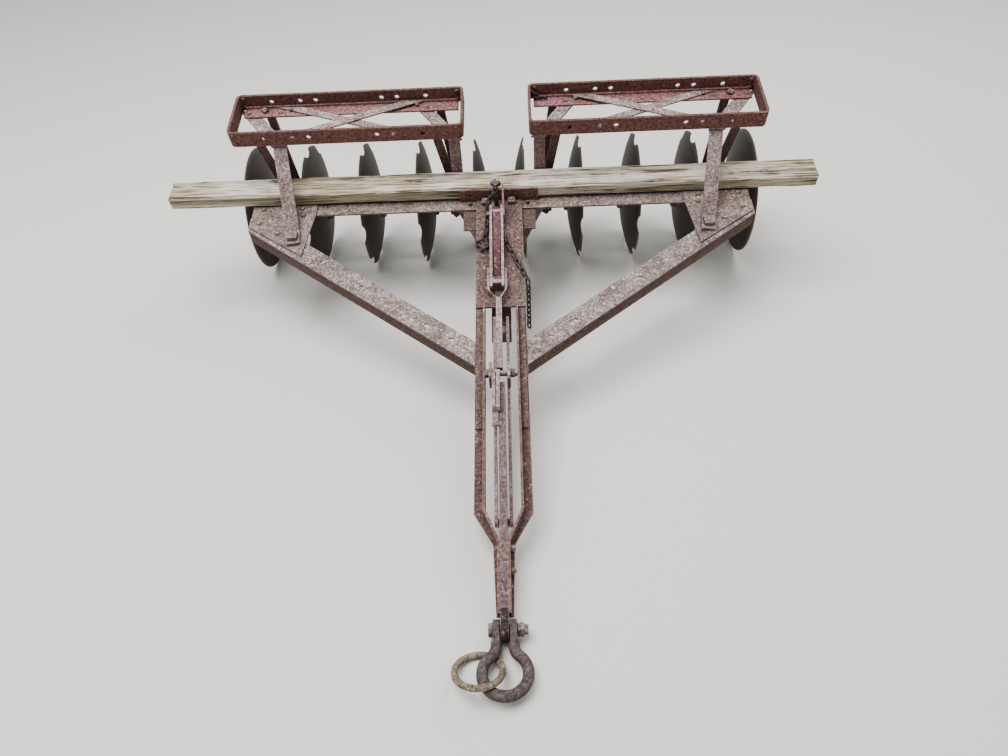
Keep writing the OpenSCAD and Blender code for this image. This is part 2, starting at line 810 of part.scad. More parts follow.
module notched_discs() {
    color("#3a2c28") for (i = [0:last_disc - 1]) {
        rim_x = disc_inset + i * disc_pitch;
        difference() {
            disc_shell(rim_x);
            square_bore(rim_x - 2 * disc_dish, rim_x + disc_dish);
            for (n = [0:notch_count - 1])
                rotate([n * 360 / notch_count, 0, 0])
                    bar_x(rim_x - 2 * disc_dish, rim_x + disc_dish, disc_radius + notch_offset, 0, 2 * notch_radius);
        }
    }
}

// Hitch, laid out with the bolt at the origin and the bow toward -Y

module at_hitch() {
    parked() translate([0, -hitch_front, hitch_height]) children();
}

// clevis dip is measured from the floor, so the park pitch is taken out again
module clevis_pose() {
    at_hitch() rotate([clevis_dip - park_pitch, 0, 0]) children();
}

module bar_arc(radius, start, angle, size) {
    rotate([0, 0, start]) rotate_extrude(angle = angle) translate([radius, 0]) circle(d = size);
}

module clevis() {
    neck_x = bow_radius * sin(bow_turn);
    neck_y = -bow_middle - bow_radius * cos(bow_turn);
    color("#4f4142") difference() {
        union() {
            translate([0, -bow_middle, 0]) bar_arc(bow_radius, -90 - bow_turn, 2 * bow_turn, clevis_bar);
            for (s = [0, 1]) mirror([s, 0, 0]) {
                translate([neck_x, neck_y, 0]) rotate([-90, 0, bow_turn - 90])
                    translate([0, 0, -2]) cylinder(h = neck_length + 2, d = clevis_bar - 1);
                bar_x(ear_inner, ear_inner + ear_wall, 0, 0, 2 * ear_radius);
                block([ear_inner, -ear_back - 4, 1 - clevis_bar / 2], [ear_inner + ear_wall, 0, clevis_bar / 2 - 1]);
            }
        }
        bar_x(-ear_inner - ear_wall - eps, ear_inner + ear_wall + eps, 0, 0, hitch_bolt_size + 2 * bolt_clearance);
        // flat seats where the bolt's head and nut turn
        for (s = [0, 1]) mirror([s, 0, 0])
            bar_x(ear_inner + ear_wall, ear_inner + 2 * ear_wall + 10, 0, 0, bolt_seat);
        // ears are flat on the inside
        block([-ear_inner, -ear_back - 1, -ear_radius], [ear_inner, ear_radius, ear_radius]);
    }
}

module hitch_bolt() {
    x1 = ear_inner + ear_wall;
    color("#5a4a44") {
        bar_x(-x1 - 4, x1 + 22, 0, 0, hitch_bolt_size);
        bar_x(-x1 - 12, -x1 - 0.5, 0, 0, 36);
        block([x1 + 0.5, -17, -17], [x1 + 16, 17, 17]);
    }
}

module hitch_link() {
    color("#7a6a55") translate([-bow_radius, -bow_middle, 0]) rotate([-link_tilt, 0, 0])
        rotate_extrude() translate([link_radius, 0]) circle(d = link_bar);
}

parked() on_left() tongue_bar();  // tongue_left
parked() tongue_bar();  // tongue_right
parked() tongue_core();
parked() cross_bar();
parked() on_left() brace();  // brace_left
parked() brace();  // brace_right
parked() on_left() gusset();  // gusset_left
parked() gusset();  // gusset_right
parked() deck_plate();
parked() splice_plate();
parked() beam_bracket();
parked() timber_beam();
parked() on_left() pivot_bolt_piece();  // pivot_bolt_left
parked() pivot_bolt_piece();  // pivot_bolt_right
parked() trip_lever();
parked() link_fork();
parked() latch_arm();
parked() slide_bars();
parked() slide_head();
parked() on_left() weight_box();  // weight_box_left
parked() weight_box();  // weight_box_right
parked() on_left() angle_rail();  // angle_rail_left
parked() angle_rail();  // angle_rail_right
parked() on_left() cross_straps();  // cross_straps_left
parked() cross_straps();  // cross_straps_right
parked() on_left() outer_strap();  // outer_strap_left
parked() outer_strap();  // outer_strap_right
parked() on_left() inner_strap(left_eye_top);  // inner_strap_left
parked() inner_strap(right_eye_top);  // inner_strap_right
parked() on_left() standard(outer_bearing, outer_lean);  // standard_outer_left
parked() standard(outer_bearing, outer_lean);  // standard_outer_right
parked() on_left() standard(inner_bearing, inner_lean);  // standard_inner_left
parked() standard(inner_bearing, inner_lean);  // standard_inner_right
parked() on_left() axle();  // axle_left
parked() axle();  // axle_right
parked() on_left() spools();  // spools_left
parked() spools();  // spools_right
parked() on_left() plain_disc();  // plain_disc_left
parked() plain_disc();  // plain_disc_right
parked() on_left() notched_discs();  // notched_discs_left
parked() notched_discs();  // notched_discs_right
at_hitch() hitch_bolt();
clevis_pose() clevis();
clevis_pose() hitch_link();
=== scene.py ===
"""Looks of a towed disc harrow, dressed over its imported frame.

Two gangs of dished discs hang under open weight boxes. They swing on a braced drawbar, which carries a
trip latch with its chain, a weathered timber and a clevis hitch. The machine is parked nose down.

Sizes are in millimetres in the level working frame of the part's source: X to the right, Y to the rear
with the axles at zero, Z up from the axles. park() tips that frame to the parked pose, in metres.
"""

import logging
import math
from collections.abc import Callable
from dataclasses import dataclass, field
from enum import Enum

import bmesh
import bpy
from mathutils import Matrix, Vector, noise


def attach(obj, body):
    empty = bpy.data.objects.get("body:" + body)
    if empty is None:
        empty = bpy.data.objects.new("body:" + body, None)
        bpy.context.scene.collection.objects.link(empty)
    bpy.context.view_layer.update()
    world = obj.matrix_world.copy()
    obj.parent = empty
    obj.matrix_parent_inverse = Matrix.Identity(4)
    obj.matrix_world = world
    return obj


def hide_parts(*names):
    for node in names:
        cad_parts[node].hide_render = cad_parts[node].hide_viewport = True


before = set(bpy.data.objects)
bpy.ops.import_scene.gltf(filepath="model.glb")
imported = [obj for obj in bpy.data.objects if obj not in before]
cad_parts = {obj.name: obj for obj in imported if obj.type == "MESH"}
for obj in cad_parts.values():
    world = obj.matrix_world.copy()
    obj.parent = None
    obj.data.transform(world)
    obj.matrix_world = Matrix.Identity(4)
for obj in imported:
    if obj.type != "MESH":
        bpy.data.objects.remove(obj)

logging.basicConfig(level=logging.INFO, format="%(name)s: %(message)s")
log = logging.getLogger("harrow")

MM = 0.001
UP = (0, 0, 1)
DOWN = (0, 0, -1)
FORWARD = (0, -1, 0)
REAR = (0, 1, 0)
LEFTWARD = (-1, 0, 0)
RIGHTWARD = (1, 0, 0)

WELD_MM = 0.02
ROUNDING = {"segments": 2, "limit_method": "ANGLE", "angle_limit": math.radians(50)}

Socket = bpy.types.NodeSocket
Place = tuple[float, float, float]
Span = tuple[float, float]


@dataclass(frozen=True)
class Layout:
    """Sizes of the frame that several sub-assemblies share, as the part's source gives them."""

    disc_radius: float = 203.2
    park_pitch: float = 14.166932
    park_shift: float = 736.12135
    frame_top: float = 194.0
    wall: float = 6.0
    drawbar_half: float = 70.0
    box_in: float = 98.0
    box_out: float = 802.0
    box_front: float = -117.0
    box_back: float = 67.0
    box_low: float = 358.0
    box_top: float = 408.0
    hitch_front: float = 1524.0
    hitch_height: float = 204.0


LAYOUT = Layout()


def park() -> Matrix:
    """Return the matrix from the level working frame in millimetres to the parked pose in metres."""
    lift = Matrix.Translation((0.0, LAYOUT.park_shift * MM, LAYOUT.disc_radius * MM))
    return lift @ Matrix.Rotation(math.radians(LAYOUT.park_pitch), 4, "X") @ Matrix.Scale(MM, 4)


class Side(Enum):
    """Which side of the machine a piece is on, with the sign of its X."""

    LEFT = -1
    RIGHT = 1

    @property
    def word(self) -> str:
        """The side's name as the part's node names end with it."""
        return self.name.lower()

    @property
    def mirror(self) -> Matrix:
        """The matrix that brings a shape of the right side to this side."""
        return Matrix.Scale(self.value, 4, (1, 0, 0))


def linear(code: str) -> tuple[float, float, float, float]:
    """Turn an sRGB hex colour into linear values.

    Args:
        code: the colour, such as "#7a3f3a".

    Returns:
        Red, green, blue and alpha for a shader's socket.
    """
    channels = [int(code[i : i + 2], 16) / 255 for i in (1, 3, 5)]
    red, green, blue = (c / 12.92 if c <= 0.04045 else ((c + 0.055) / 1.055) ** 2.4 for c in channels)
    return red, green, blue, 1.0


def configure(thing: object, **settings: object) -> None:
    """Set several properties of a node, a modifier or a piece of data."""
    for name, value in settings.items():
        setattr(thing, name, value)


@dataclass
class Shader:
    """A node tree with short ways to add the nodes that the finishes share."""

    tree: bpy.types.NodeTree

    def put(self, kind: str, feeds: dict | None = None, **settings: object) -> bpy.types.Node:
        """Add a node with its settings and feed its inputs.

        Args:
            kind: Blender's name of the node type, without "ShaderNode".
            feeds: input name or number, and the value or output socket that feeds it.
            settings: the node's own properties.

        Returns:
            The new node.
        """
        node = self.tree.nodes.new(f"ShaderNode{kind}")
        configure(node, **settings)
        for key, value in (feeds or {}).items():
            socket = node.inputs[key]
            if isinstance(value, Socket):
                self.tree.links.new(value, socket)
            else:
                socket.default_value = value
        return node

    def place(self) -> Socket:
        """Return the object coordinates."""
        return self.put("TexCoord").outputs["Object"]

    def facing(self) -> tuple[Socket, Socket]:
        """Return the surface's normal, and how far it faces up."""
        normal = self.put("NewGeometry").outputs["Normal"]
        return normal, self.put("SeparateXYZ", {0: normal}).outputs["Z"]

    def noise(self, at: Socket, size_mm: float, detail: float, rough: float = 0.5, twist: float = 0.0) -> Socket:
        """Return a cloudy pattern whose features are about a size in millimetres."""
        return self.put("TexNoise", {
            "Vector": at, "Scale": 1 / (size_mm * MM), "Detail": detail, "Roughness": rough, "Distortion": twist,
        }).outputs[0]

    def ramp(
        self, value: Socket, start: float = 0.0, end: float = 1.0, low: float = 0.0, high: float = 1.0,
        **settings: object,
    ) -> Socket:
        """Map the range from start to end to the range from low to high."""
        return self.put("MapRange", {
            "Value": value, "From Min": start, "From Max": end, "To Min": low, "To Max": high,
        }, **settings).outputs[0]

    def calc(self, operation: str, *values: Socket | float, clamp: bool = False) -> Socket:
        """Return the result of an operation on numbers."""
        return self.put("Math", dict(enumerate(values)), operation=operation, use_clamp=clamp).outputs[0]

    def vector(self, operation: str, *values: object, output: str = "Vector") -> Socket:
        """Return the result of an operation on vectors."""
        return self.put("VectorMath", dict(enumerate(values)), operation=operation).outputs[output]

    def scaled(self, colour: Socket, factor: Socket) -> Socket:
        """Lighten or darken a colour by a factor."""
        return self.put("VectorMath", {0: colour, "Scale": factor}, operation="SCALE").outputs[0]

    def mix(self, share: Socket, first: Socket | str, second: Socket | str) -> Socket:
        """Blend from a first colour to a second, each a socket or an sRGB code."""
        ends = [linear(colour) if isinstance(colour, str) else colour for colour in (first, second)]
        return self.put("Mix", {0: share, 6: ends[0], 7: ends[1]}, data_type="RGBA").outputs[2]

    def skin(
        self, coat: Socket | tuple, rough: Socket | float, shine: float,
        relief: tuple[Socket, float, float] | None = None,
    ) -> None:
        """End the tree with a surface.

        Args:
            coat: its colour.
            rough: its roughness.
            shine: its specular level.
            relief: the height that raises it, how far in millimetres, and how strongly.
        """
        feeds = {"Base Color": coat, "Roughness": rough, "Specular IOR Level": shine}
        if relief:
            height, distance, strength = relief
            bump = self.put("Bump", {"Height": height, "Distance": distance * MM, "Strength": strength})
            feeds["Normal"] = bump.outputs[0]
        surface = self.put("BsdfPrincipled", feeds).outputs[0]
        self.put("OutputMaterial", {"Surface": surface})


# Finishes


@dataclass(frozen=True)
class Finish:
    """A procedural material that is built once and then shared, with the record's slot that it goes in."""

    name: str
    slot: str

    def material(self) -> bpy.types.Material:
        """Return this finish's material, and build it at its first use."""
        found = bpy.data.materials.get(self.name)
        if found is None:
            found = bpy.data.materials.new(self.name)
            found.use_nodes = True
            found.node_tree.nodes.clear()
            self.draw(Shader(found.node_tree))
        return found

    def draw(self, tree: Shader) -> None:
        """Fill the material's node tree."""
        raise NotImplementedError


@dataclass(frozen=True)
class WeatheredMetal(Finish):
    """Mild steel bar, hot rolled, once brushed with red oxide enamel and left outside for years.

    The enamel has chalked to a dull pinkish grey on top faces and stays a deep red on upright ones, with
    brown rust coming through in blooms. Nothing in it shines: roughness is high and the base is not
    metallic, because rust and chalk cover the steel. Edges are painted pale, as rubbed paint and a painted
    highlight, and corners are darkened, as dirt and painted shade. Each zone is a box in the level frame, as
    its X, Y and Z ranges in millimetres, with the tint that multiplies the coat in it; in some zones that
    tint is painted shade.
    """

    deep: str = "#4c2f2a"
    mid: str = "#69463e"
    faded: str = "#a09391"
    rust: str = "#5c4032"
    grime: str = "#241b18"
    rubbed: str = "#b09c99"
    fleck: str = "#cdc5bd"
    pit: str = "#4a3a35"
    lichen_pale: str = "#d2cdc0"
    patch_mm: float = 70.0
    mottle_mm: float = 12.0
    grit_mm: float = 7.0
    fleck_mm: float = 14.0
    pit_mm: float = 12.0
    flecks: float = 0.7
    fade_on_top: float = 0.75
    fade_all_over: float = 0.25
    rust_share: float = 0.35
    lichen: float = 0.0
    rough: float = 0.82
    relief_mm: float = 0.35
    zones: tuple[tuple[Span, Span, Span, Place], ...] = ()

    def draw(self, tree: Shader) -> None:
        """Fill the material's node tree."""
        place = tree.place()
        patches = tree.noise(place, self.patch_mm, 7.0, 0.62, 0.4)
        mottle = tree.noise(place, self.mottle_mm, 5.0, 0.65)
        grit = tree.noise(place, self.grit_mm, 3.0, 0.7)
        normal, upward = tree.facing()
        top = tree.ramp(upward, 0.35, 0.9, self.fade_all_over, self.fade_on_top, interpolation_type="SMOOTHSTEP")
        fade = tree.calc("MULTIPLY", top, tree.ramp(patches, 0.38, 0.62, 0.5, 1.12), clamp=True)
        paint = tree.mix(tree.ramp(mottle, 0.3, 0.7), self.deep, self.mid)
        coat = tree.mix(fade, paint, self.faded)
        bloom = tree.noise(place, self.patch_mm * 0.45, 8.0, 0.7, 0.8)
        rusted = tree.ramp(bloom, 0.66 - 0.3 * self.rust_share, 0.8 - 0.3 * self.rust_share, 0.0, 0.85)
        coat = tree.mix(rusted, coat, self.rust)
        coat = tree.scaled(coat, tree.ramp(grit, 0.4, 0.6, 0.46, 1.5))
        coat = self.fleck_coat(tree, place, top, self.tint_zones(tree, place, coat))
        coat = self.wear(tree, normal, mottle, self.speckle(tree, place, upward, coat))
        dull = tree.ramp(mottle, 0.0, 1.0, self.rough - 0.1, self.rough + 0.12)
        tree.skin(coat, dull, 0.3, (tree.calc("ADD", mottle, grit), self.relief_mm, 0.9))

    def tint_zones(self, tree: Shader, place: Socket, coat: Socket) -> Socket:
        """Darken or lighten what lies in the finish's zones.

        Args:
            tree: the node tree.
            place: the object coordinates.
            coat: the colour so far.

        Returns:
            The colour with its zones.
        """
        if not self.zones:
            return coat
        lifted = tree.vector("ADD", place, (0.0, -LAYOUT.park_shift * MM, -LAYOUT.disc_radius * MM))
        back = {"Vector": lifted, "Angle": -math.radians(LAYOUT.park_pitch)}
        level = tree.put("VectorRotate", back, rotation_type="X_AXIS").outputs[0]
        spread = tree.put("SeparateXYZ", {0: level})
        for *spans, tint in self.zones:
            within = []
            for axis, (low, high) in enumerate(spans):
                offset = tree.calc("SUBTRACT", spread.outputs[axis], (low + high) / 2 * MM)
                within.append(tree.calc("LESS_THAN", tree.calc("ABSOLUTE", offset), (high - low) / 2 * MM))
            inside = tree.calc("MULTIPLY", tree.calc("MULTIPLY", within[0], within[1]), within[2])
            coat = tree.mix(inside, coat, tree.vector("MULTIPLY", coat, tint))
        return coat

    def fleck_coat(self, tree: Shader, place: Socket, top: Socket, coat: Socket) -> Socket:
        """Scatter pale flecks of dust and chalk where the coat has faded, and dark pits between them.

        Args:
            tree: the node tree.
            place: the object coordinates.
            top: how far the coat has faded here.
            coat: the colour so far.

        Returns:
            The flecked colour.
        """
        dusted = tree.ramp(tree.noise(place, self.fleck_mm, 7.0, 0.75), 0.565, 0.625, 0.0, self.flecks)
        pitted = tree.ramp(tree.noise(place, self.pit_mm, 7.0, 0.8, 0.5), 0.54, 0.62, 0.0, 0.7)
        coat = tree.mix(tree.calc("MULTIPLY", dusted, top, clamp=True), coat, self.fleck)
        return tree.mix(pitted, coat, self.pit)

    def speckle(self, tree: Shader, place: Socket, upward: Socket, coat: Socket) -> Socket:
        """Dot the top faces with pale lichen, 6 to 15 mm across.

        Args:
            tree: the node tree.
            place: the object coordinates.
            upward: how far the surface faces up.
            coat: the colour so far.

        Returns:
            The colour with its lichen.
        """
        if not self.lichen:
            return coat
        apart_mm = 34
        cells = tree.put("TexVoronoi", {"Vector": place, "Scale": 1 / (apart_mm * MM), "Randomness": 1.0})
        ragged = tree.calc("ADD", cells.outputs["Distance"], tree.noise(place, 6, 3.0))
        spot = tree.ramp(ragged, 0.5 + 0.12 * self.lichen, 0.42 + 0.12 * self.lichen)
        lit = tree.ramp(upward, 0.5, 0.8, 0.0, 0.85)
        return tree.mix(tree.calc("MULTIPLY", spot, lit, clamp=True), coat, self.lichen_pale)

    def wear(self, tree: Shader, normal: Socket, mottle: Socket, coat: Socket) -> Socket:
        """Rub the edges pale, as wear and a painted highlight, and darken the corners, as dirt and painted shade.

        Args:
            tree: the node tree.
            normal: the surface's normal.
            mottle: a pattern that breaks the pale edge up.
            coat: the colour so far.

        Returns:
            The colour with its pale edges and darkened corners.
        """
        edge_mm, corner_mm = 2.2, 28
        # painted highlight and rubbed paint: the edges are painted pale
        rounded = tree.put("Bevel", {"Radius": edge_mm * MM}, samples=6).outputs[0]
        edge = tree.ramp(tree.vector("DOT_PRODUCT", rounded, normal, output="Value"), 0.995, 0.9)
        broken = tree.ramp(mottle, 0.36, 0.56, 0.15, 0.9)
        coat = tree.mix(tree.calc("MULTIPLY", edge, broken, clamp=True), coat, self.rubbed)
        # painted shade and dirt: ambient occlusion darkens corners and recesses
        open_sky = tree.put("AmbientOcclusion", {"Distance": corner_mm * MM}, samples=6).outputs["AO"]
        return tree.mix(tree.ramp(open_sky, 0.75, 0.25, 0.0, 0.75), coat, self.grime)


@dataclass(frozen=True)
class DiscSteel(Finish):
    """High-carbon disc steel, hot pressed, its mill scale long gone and brown-black with rust.

    Soil polished it once, so faint rings run round the axle, and the rim is scuffed a little paler.
    """

    base: str = "#1c1613"
    pale: str = "#372d28"
    orange: str = "#5d4233"
    soil: str = "#63564a"
    ring_mm: float = 4.0
    sway_mm: float = 12.0

    def draw(self, tree: Shader) -> None:
        """Fill the material's node tree."""
        centre = (0.0, -LAYOUT.park_shift * MM, -LAYOUT.disc_radius * MM)
        about = tree.put("Mapping", {"Vector": tree.place(), "Location": centre}).outputs[0]
        reach = tree.vector("LENGTH", tree.vector("MULTIPLY", about, (0.0, 1.0, 1.0)), output="Value")
        blotch = tree.noise(about, 55, 8.0, 0.65)
        fine = tree.noise(about, 5, 4.0, 0.7)
        # the blotches break the rings up
        shifted = tree.calc("MULTIPLY_ADD", blotch, self.sway_mm * MM, reach)
        turned = tree.calc("MULTIPLY", shifted, 2 * math.pi / (self.ring_mm * MM))
        ringed = tree.ramp(tree.calc("SINE", turned), -1.0, 1.0, 0.9, 1.12)
        coat = tree.mix(tree.ramp(blotch, 0.35, 0.68), self.base, self.pale)
        coat = tree.mix(tree.ramp(fine, 0.56, 0.72, 0.0, 0.6), coat, self.orange)
        rim = tree.ramp(reach, 0.188, 0.2035, 0.0, 0.45)
        hub = tree.ramp(reach, 0.085, 0.045, 0.0, 0.4)
        coat = tree.mix(hub, tree.mix(rim, coat, self.soil), self.soil)
        dull = tree.ramp(blotch, 0.0, 1.0, 0.55, 0.8)
        tree.skin(tree.scaled(coat, ringed), dull, 0.4, (tree.calc("ADD", fine, blotch), 0.4, 0.8))


@dataclass(frozen=True)
class WeatheredTimber(Finish):
    """Rough-sawn softwood that has stood in the rain for years: silvered, with the soft grain washed out.

    The late wood stands up in ridges a few millimetres apart along the board, and dark checks run between
    them. There is no gloss at all.
    """

    silver: str = "#d2cabb"
    straw: str = "#bda886"
    flank: str = "#94886e"
    shade: str = "#74654e"
    check: str = "#3b3127"

    def draw(self, tree: Shader) -> None:
        """Fill the material's node tree."""
        place = tree.place()
        along, longer = (
            tree.put("Mapping", {"Vector": place, "Scale": (pull, 1.0, 1.0)}).outputs[0] for pull in (0.035, 0.02)
        )
        grain = tree.noise(along, 4.5, 6.0, 0.6, 0.3)
        band = tree.noise(along, 22, 4.0, 0.55)
        cloud = tree.noise(place, 140, 5.0, 0.6)
        checks = tree.noise(longer, 12, 3.0, 0.5, 0.2)
        coat = tree.mix(tree.ramp(cloud, 0.4, 0.66, 0.0, 0.8), self.silver, self.straw)
        # upright faces stay damp and carry a green-brown film, thinner in places
        steep = tree.ramp(tree.facing()[1], 0.75, 0.35)
        coat = tree.mix(tree.calc("MULTIPLY", steep, tree.ramp(band, 0.3, 0.62, 1.0, 0.45)), coat, self.flank)
        coat = tree.mix(tree.ramp(grain, 0.5, 0.38, 0.0, 0.9), coat, self.shade)
        coat = tree.scaled(coat, tree.ramp(band, 0.34, 0.66, 0.62, 1.22))
        # a check is where the stretched pattern crosses its middle value
        distance = tree.calc("ABSOLUTE", tree.calc("SUBTRACT", checks, 0.5))
        split = tree.ramp(distance, 0.036, 0.012, 0.0, 0.97)
        opened = tree.calc("MULTIPLY", split, tree.ramp(cloud, 0.38, 0.5))
        tree.skin(
            tree.mix(opened, coat, self.check), 0.92, 0.15, (tree.calc("SUBTRACT", grain, opened), 1.2, 1.0)
        )


@dataclass(frozen=True)
class StudioFloor(Finish):
    """Matt pale backdrop paper that keeps the object's shadow."""

    colour: str = "#dddbd6"

    def draw(self, tree: Shader) -> None:
        """Fill the material's node tree."""
        tree.skin(linear(self.colour), 0.95, 0.1)


# red oxide enamel as it has aged on the different bars
RED_BOX = WeatheredMetal(
    "red_oxide_upright", "red_paint", deep="#4c2925", mid="#6b423b", faded="#6f5a56", fade_on_top=0.3,
    fade_all_over=0.06, rust_share=0.5, rubbed="#94807c", flecks=0.3,
)
RED_ANGLE = WeatheredMetal(
    "red_oxide_sheltered", "worn_paint", deep="#6a3537", mid="#8c4f50", faded="#957371", fade_on_top=0.6,
    fade_all_over=0.1, rust_share=0.35, flecks=0.4,
)
RED_STRAP = WeatheredMetal(
    "red_oxide_straps", "worn_paint", deep="#4b322e", mid="#66504b", faded="#9a8b86", fade_on_top=0.92,
    fade_all_over=0.14, rust_share=0.34, flecks=0.5,
)
RED_FRAME = WeatheredMetal(
    "red_oxide_chalked", "red_paint", deep="#432a25", mid="#5c423b", faded="#85776f", fade_on_top=0.98,
    fade_all_over=0.05, rust_share=0.38, lichen=0.5, flecks=0.55,
)
# the drawbar's flange is darker than its deck, and the upper edge of its web is rubbed
RED_TONGUE = WeatheredMetal(
    "red_oxide_drawbar", "red_paint", deep="#402824", mid="#593e39", faded="#6b5650", rubbed="#a38d8a",
    fade_on_top=0.92, fade_all_over=0.05, rust_share=0.42, lichen=0.25, flecks=0.35,
    zones=(
        ((-90, 90), (-1600, -641), (100, 197), (0.86, 0.8, 0.8)),
        ((-90, 90), (-1600, -630), (205, 240), (1.3, 1.12, 1.1)),
    ),
)
RED_BRACE = WeatheredMetal(
    "red_oxide_lichened", "red_paint", deep="#37231b", mid="#4e372b", faded="#93867f", fade_on_top=1.0,
    fade_all_over=0.03, rust_share=0.38, lichen=1.0, flecks=0.8,
)
RED_DARK = WeatheredMetal(
    "red_oxide_shaded", "dark_paint", deep="#34201c", mid="#4b322d", faded="#6e5c58", fade_on_top=0.5,
    fade_all_over=0.06, rust_share=0.45, flecks=0.2,
)
RED_PINK = WeatheredMetal(
    "red_oxide_rubbed", "worn_paint", deep="#5f3d3a", mid="#7b5956", faded="#a18d8a", rubbed="#c4b0ad",
    fade_on_top=0.95, fade_all_over=0.2, rust_share=0.25,
)
# the middle bar's forged end round the clevis bolt carries painted shade, and the stretch behind it is a bit darker
RED_CORE = WeatheredMetal(
    "red_oxide_core", "worn_paint", deep="#5b3d3a", mid="#745654", faded="#705f5e", rubbed="#ad9693",
    fade_on_top=0.9, fade_all_over=0.15, rust_share=0.3, flecks=0.35,
    zones=(
        # painted shade on the forged end round the clevis bolt
        ((-20, 20), (-1580, -1484), (0, 300), (0.2, 0.13, 0.1)),
        ((-20, 20), (-1484, -1396), (0, 300), (0.7, 0.7, 0.78)),
    ),
)
# the trip lever's post is bare iron, and the middle of the lever, between its side bars, is darkened as painted
# shade
RED_LEVER = WeatheredMetal(
    "red_oxide_lever", "red_paint", deep="#6b4442", mid="#876462", faded="#ad9896", rubbed="#c4b0ad",
    fade_on_top=0.95, fade_all_over=0.25, rust_share=0.2,
    zones=(
        ((-30, 9.5), (-256, -200), (0, 400), (0.3, 0.34, 0.38)),
        # painted shade between the lever's side bars
        ((-20.5, 4.5), (-560, -300), (0, 400), (0.36, 0.17, 0.2)),
    ),
)
# bare forged and cast iron, brown with even rust
FORGED = WeatheredMetal(
    "forged_iron_rusted", "forged_iron", deep="#2c2324", mid="#3f3436", faded="#5c4f4e", rust="#46322a",
    rubbed="#6a5c5d", fleck="#7c7069", patch_mm=45, mottle_mm=8, fade_on_top=0.6, fade_all_over=0.3,
    rust_share=0.4, relief_mm=0.6, rough=0.7, flecks=0.4,
)
LINK_IRON = WeatheredMetal(
    "forged_iron_pale_rust", "link_iron", deep="#564a3c", mid="#6f624f", faded="#867a66", rust="#5b422e",
    rubbed="#a7977f", fleck="#b8ab93", patch_mm=40, mottle_mm=7, fade_on_top=0.6, fade_all_over=0.4,
    rust_share=0.35, relief_mm=0.5, rough=0.75, flecks=0.4,
)
CAST_IRON = WeatheredMetal(
    "cast_iron_rusted", "rusty_iron", deep="#2f2420", mid="#44342d", faded="#6a5a52", rust="#533524",
    rubbed="#75655c", fleck="#8f8174", patch_mm=40, mottle_mm=7, fade_on_top=0.5, fade_all_over=0.25,
    rust_share=0.5, relief_mm=0.9, rough=0.85, flecks=0.4,
)
BOLT_IRON = WeatheredMetal(
    "bolt_iron_rusted", "rusty_iron", deep="#3d302c", mid="#57463f", faded="#8a7c77", rust="#4d3326",
    rubbed="#a08f86", fleck="#aca198", patch_mm=20, mottle_mm=5, fade_on_top=0.8, fade_all_over=0.2,
    rust_share=0.35, relief_mm=0.4, rough=0.72, flecks=0.4,
)
DISC = DiscSteel("disc_steel_rusted", "disc_steel")
TIMBER = WeatheredTimber("softwood_silvered", "weathered_timber")
FLOOR = StudioFloor("backdrop_paper", "")


# Making pieces


def clear_selection() -> None:
    """Leave edit mode and deselect everything, because an operator acts on all that is selected."""
    if bpy.context.object and bpy.context.object.mode != "OBJECT":
        bpy.ops.object.mode_set(mode="OBJECT")
    bpy.ops.object.select_all(action="DESELECT")


